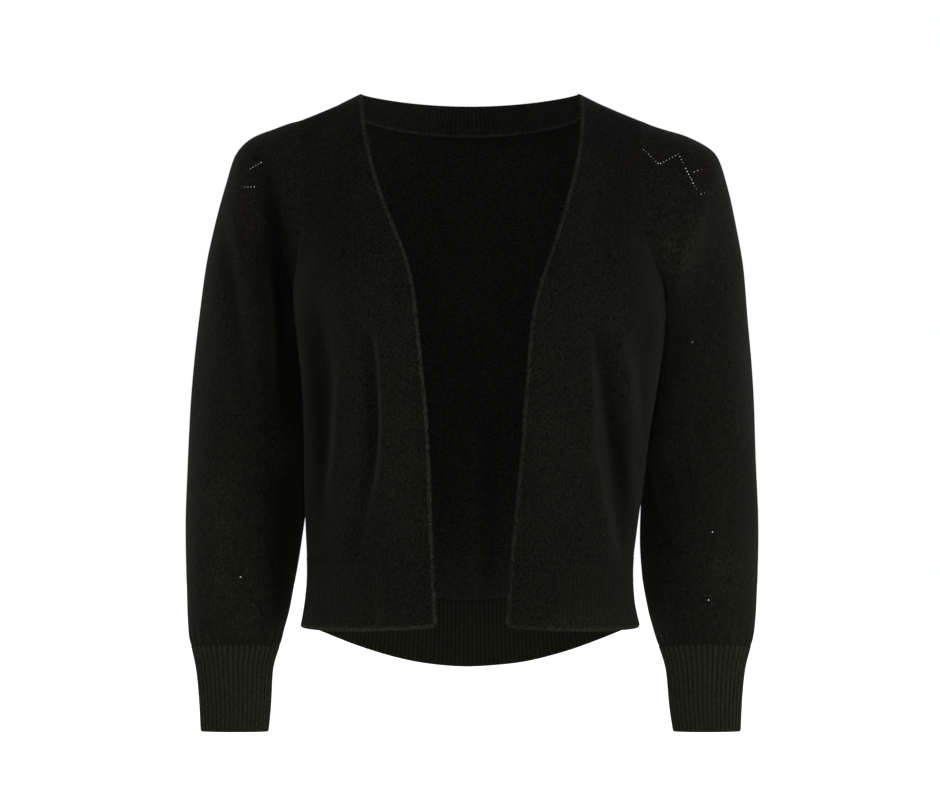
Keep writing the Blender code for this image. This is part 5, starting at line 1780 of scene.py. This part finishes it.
def stroke_cells(side, middle, seam):
    """The cells under the listed strokes, each with its place in view, the painted light round its eyelet and
    its radius.
    """
    flat = in_view(cell_centres(middle))
    faces = np.sin(sleeve_angles())
    every = np.ones((SLEEVE_ROWS, 1), bool)
    layers = [np.argwhere(every & (faces > EDGE_ON)), np.argwhere(every & (faces < -EDGE_ON))]
    found = {}
    for stroke in map(Stroke._make, STROKES[side]):
        path = np.array(stroke.path) / 1000
        count = max(1, round(lengths_along(path)[-1] / EYELET_PITCH))
        for target in spread(path, np.linspace(0, 1, count + 1)[:max(count, 1)]):
            for cells in layers[:1 + stroke.open]:
                nearest = np.argmin(np.linalg.norm(flat[cells[:, 0], cells[:, 1]] - target, axis=1))
                cell = tuple(int(n) for n in cells[nearest])
                if seam[cell] >= CLEAR_SEAM:
                    found[cell] = (target, stroke.pale, OPEN_RADIUS if stroke.open else EYELET_RADIUS)
    return found


def centre_cells(skins, middle, found):
    """Slides the grid's points along the cloth until the cells under the strokes are centred on them."""
    slide, shared = np.zeros(middle.shape[:2] + (2,)), np.zeros(middle.shape[:2] + (1,))
    for cell, (target, _, _) in found.items():
        row, column = cell
        corners = np.ix_((row, row + 1), (column, (column + 1) % SLEEVE_COLUMNS))
        slide[corners] += np.clip(place_in_cell(target, cell, middle) - 0.5, -0.5, 0.5)
        shared[corners] += 1
    slide /= np.maximum(shared, 1)
    for skin in skins:
        along = (np.roll(skin, -1, axis=1) - np.roll(skin, 1, axis=1)) / 2
        skin += slide[..., :1] * along + slide[..., 1:] * np.gradient(skin, axis=0)


def place_eyelets(side, outer, inner, seam):
    """The sleeve's eyelets: the listed strokes, then the broken zigzags wherever there is room."""
    found = stroke_cells(side, (outer + inner) / 2, seam)
    centre_cells((outer, inner), (outer + inner) / 2, found)
    thin = np.zeros(seam.shape, bool)
    for row, column in found:
        thin[np.ix_((row, row + 1), (column, (column + 1) % SLEEVE_COLUMNS))] = True
    inner[thin] = outer[thin] + EYELET_THINNESS * (inner[thin] - outer[thin])
    middle = (outer + inner) / 2
    flat = in_view(cell_centres(middle))
    faces = np.sin(sleeve_angles())
    chosen = {}
    for cell, (target, pale, radius) in found.items():
        inside = np.clip(place_in_cell(target, cell, middle), *EYELET_SWAY)
        chosen[cell] = (*inside, pale, radius)
    used = np.array([target for target, _, _ in found.values()])
    front_places = []
    for cell in sorted(zigzag_cells(), key=lambda cell: -faces[cell[1]]):
        crowd = used if faces[cell[1]] > 0 else np.concatenate((used, np.array(front_places)))
        room = np.linalg.norm(crowd - flat[cell], axis=1).min() > EYELET_ROOM
        if seam[cell] >= CLEAR_SEAM and room and cell not in chosen:
            chosen[cell] = (0.5, 0.5, FAINT, EYELET_RADIUS)
            if faces[cell[1]] > 0:
                front_places.append(flat[cell])
    rng = np.random.default_rng(5)
    cell_size = np.linalg.norm(np.roll(outer, -1, axis=1) - outer, axis=-1)
    eyelets = []
    for cell, (u, v, pale, radius) in sorted(chosen.items()):
        radius = min(radius, WIDEST_EYELET * float(cell_size[cell])) * rng.uniform(*RADIUS_RANGE)
        # painted light on the yarn round each eyelet, a little different for each
        eyelets.append(Eyelet(*cell, float(u), float(v), radius, pale * rng.uniform(*TONE_RANGE)))
    return eyelets


# %% The sleeves
def make_sleeve(side):
    """A full sleeve, from the armhole seam to the cuff."""
    outer, inner, cloth, seam, paler = sleeve_skins(side)
    sewn = sewn_borders(outer, ("top", "foot"))
    eyelets = place_eyelets(side, outer, inner, seam)
    return make_cloth(f"shrug_sleeve_{name_of(side)}", outer, inner, cloth, (sleeve_outside, sleeve_inside),
                      seam, sewn, shade=(paler, 0.0), closed=True, eyelets=eyelets)


sleeves = {side: make_sleeve(side) for side in (LEFT, RIGHT)}

# %% [markdown]
# ## The cuffs
#
# The cuffs are the deepest ribbing, and narrow. Their ribs are spaced by the distance round the cuff, not by
# angle, or they would bunch up at the ends of the flattened oval.

# %% The cuffs
CUFF_STEPS = 25
CUFF_CLOSE = LAST_RING - 0.06  # from this ring on, rows stand closer together
CUFF_LAST = (17.96, 17.98, 17.99, 18.0)


def make_cuff(side):
    """A ribbed cuff."""
    name = f"cuff_{name_of(side)}"
    fine = np.linspace(0, 2 * math.pi, 721)
    numbers = np.concatenate((np.linspace(CUFF_RING, CUFF_CLOSE, CUFF_STEPS), CUFF_LAST))
    columns = RIB_POINTS * CUFF_RIBS
    rows, directions = [], []
    for number in numbers:
        lengths = lengths_along(sleeve_ring(side, number, fine))
        places = np.linspace(0, lengths[-1], columns, endpoint=False)
        even = np.interp(places, lengths, fine)
        rows.append(sleeve_ring(side, number, even))
        directions.append(sleeve_normals(side, number, even))
    points, directions = np.stack(rows), np.stack(directions)
    from_top = column_lengths(points)
    outer, inner, shade = rib_skins(points, directions, RIB_DEPTH, from_top[-1:] - from_top, FURROW_SHADE)
    loop = np.concatenate((points, points[:, :1]), axis=1)
    measure_cut(name, loop)
    return make_cloth(f"shrug_{name}", outer, inner, rib_map(loop, HEM_RIB_PITCH), (cuff_rib, cuff_rib),
                      from_top, sewn_borders(points, ("top",)), shade=shade, closed=True)


cuffs = {side: make_cuff(side) for side in (LEFT, RIGHT)}

# %% [markdown]
# ## Handing the pieces over
#
# Each piece takes the place of the imported solid of the same name, which is hidden, and rides on the one
# body.
# A table lists the pieces that each is sewn to, from which its cloth hangs, and each piece's flat cut is
# printed.

# %% Replace the plain pieces
sewn_to = {
    "back": ("neck_band", "hem_rib_back"),
    "neck_band": ("back",),
    "hem_rib_back": ("back",),
    "front_left": ("back", "hem_rib_front_left"),
    "front_right": ("back", "hem_rib_front_right"),
    "hem_rib_front_left": ("front_left",),
    "hem_rib_front_right": ("front_right",),
    "sleeve_left": ("back", "front_left"),
    "sleeve_right": ("back", "front_right"),
    "cuff_left": ("sleeve_left",),
    "cuff_right": ("sleeve_right",),
}
pieces = {name: bpy.data.objects[f"shrug_{name}"] for name in sewn_to}
for name, piece in pieces.items():
    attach(piece, "root")
    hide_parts(name)
for name, piece in pieces.items():
    cut = cuts[name]
    print(f"{name}: {cut.width * 1000:.0f} x {cut.length * 1000:.0f} mm, {cut.area * 1e4:.0f} cm2")

# %% Finish
print("finished")
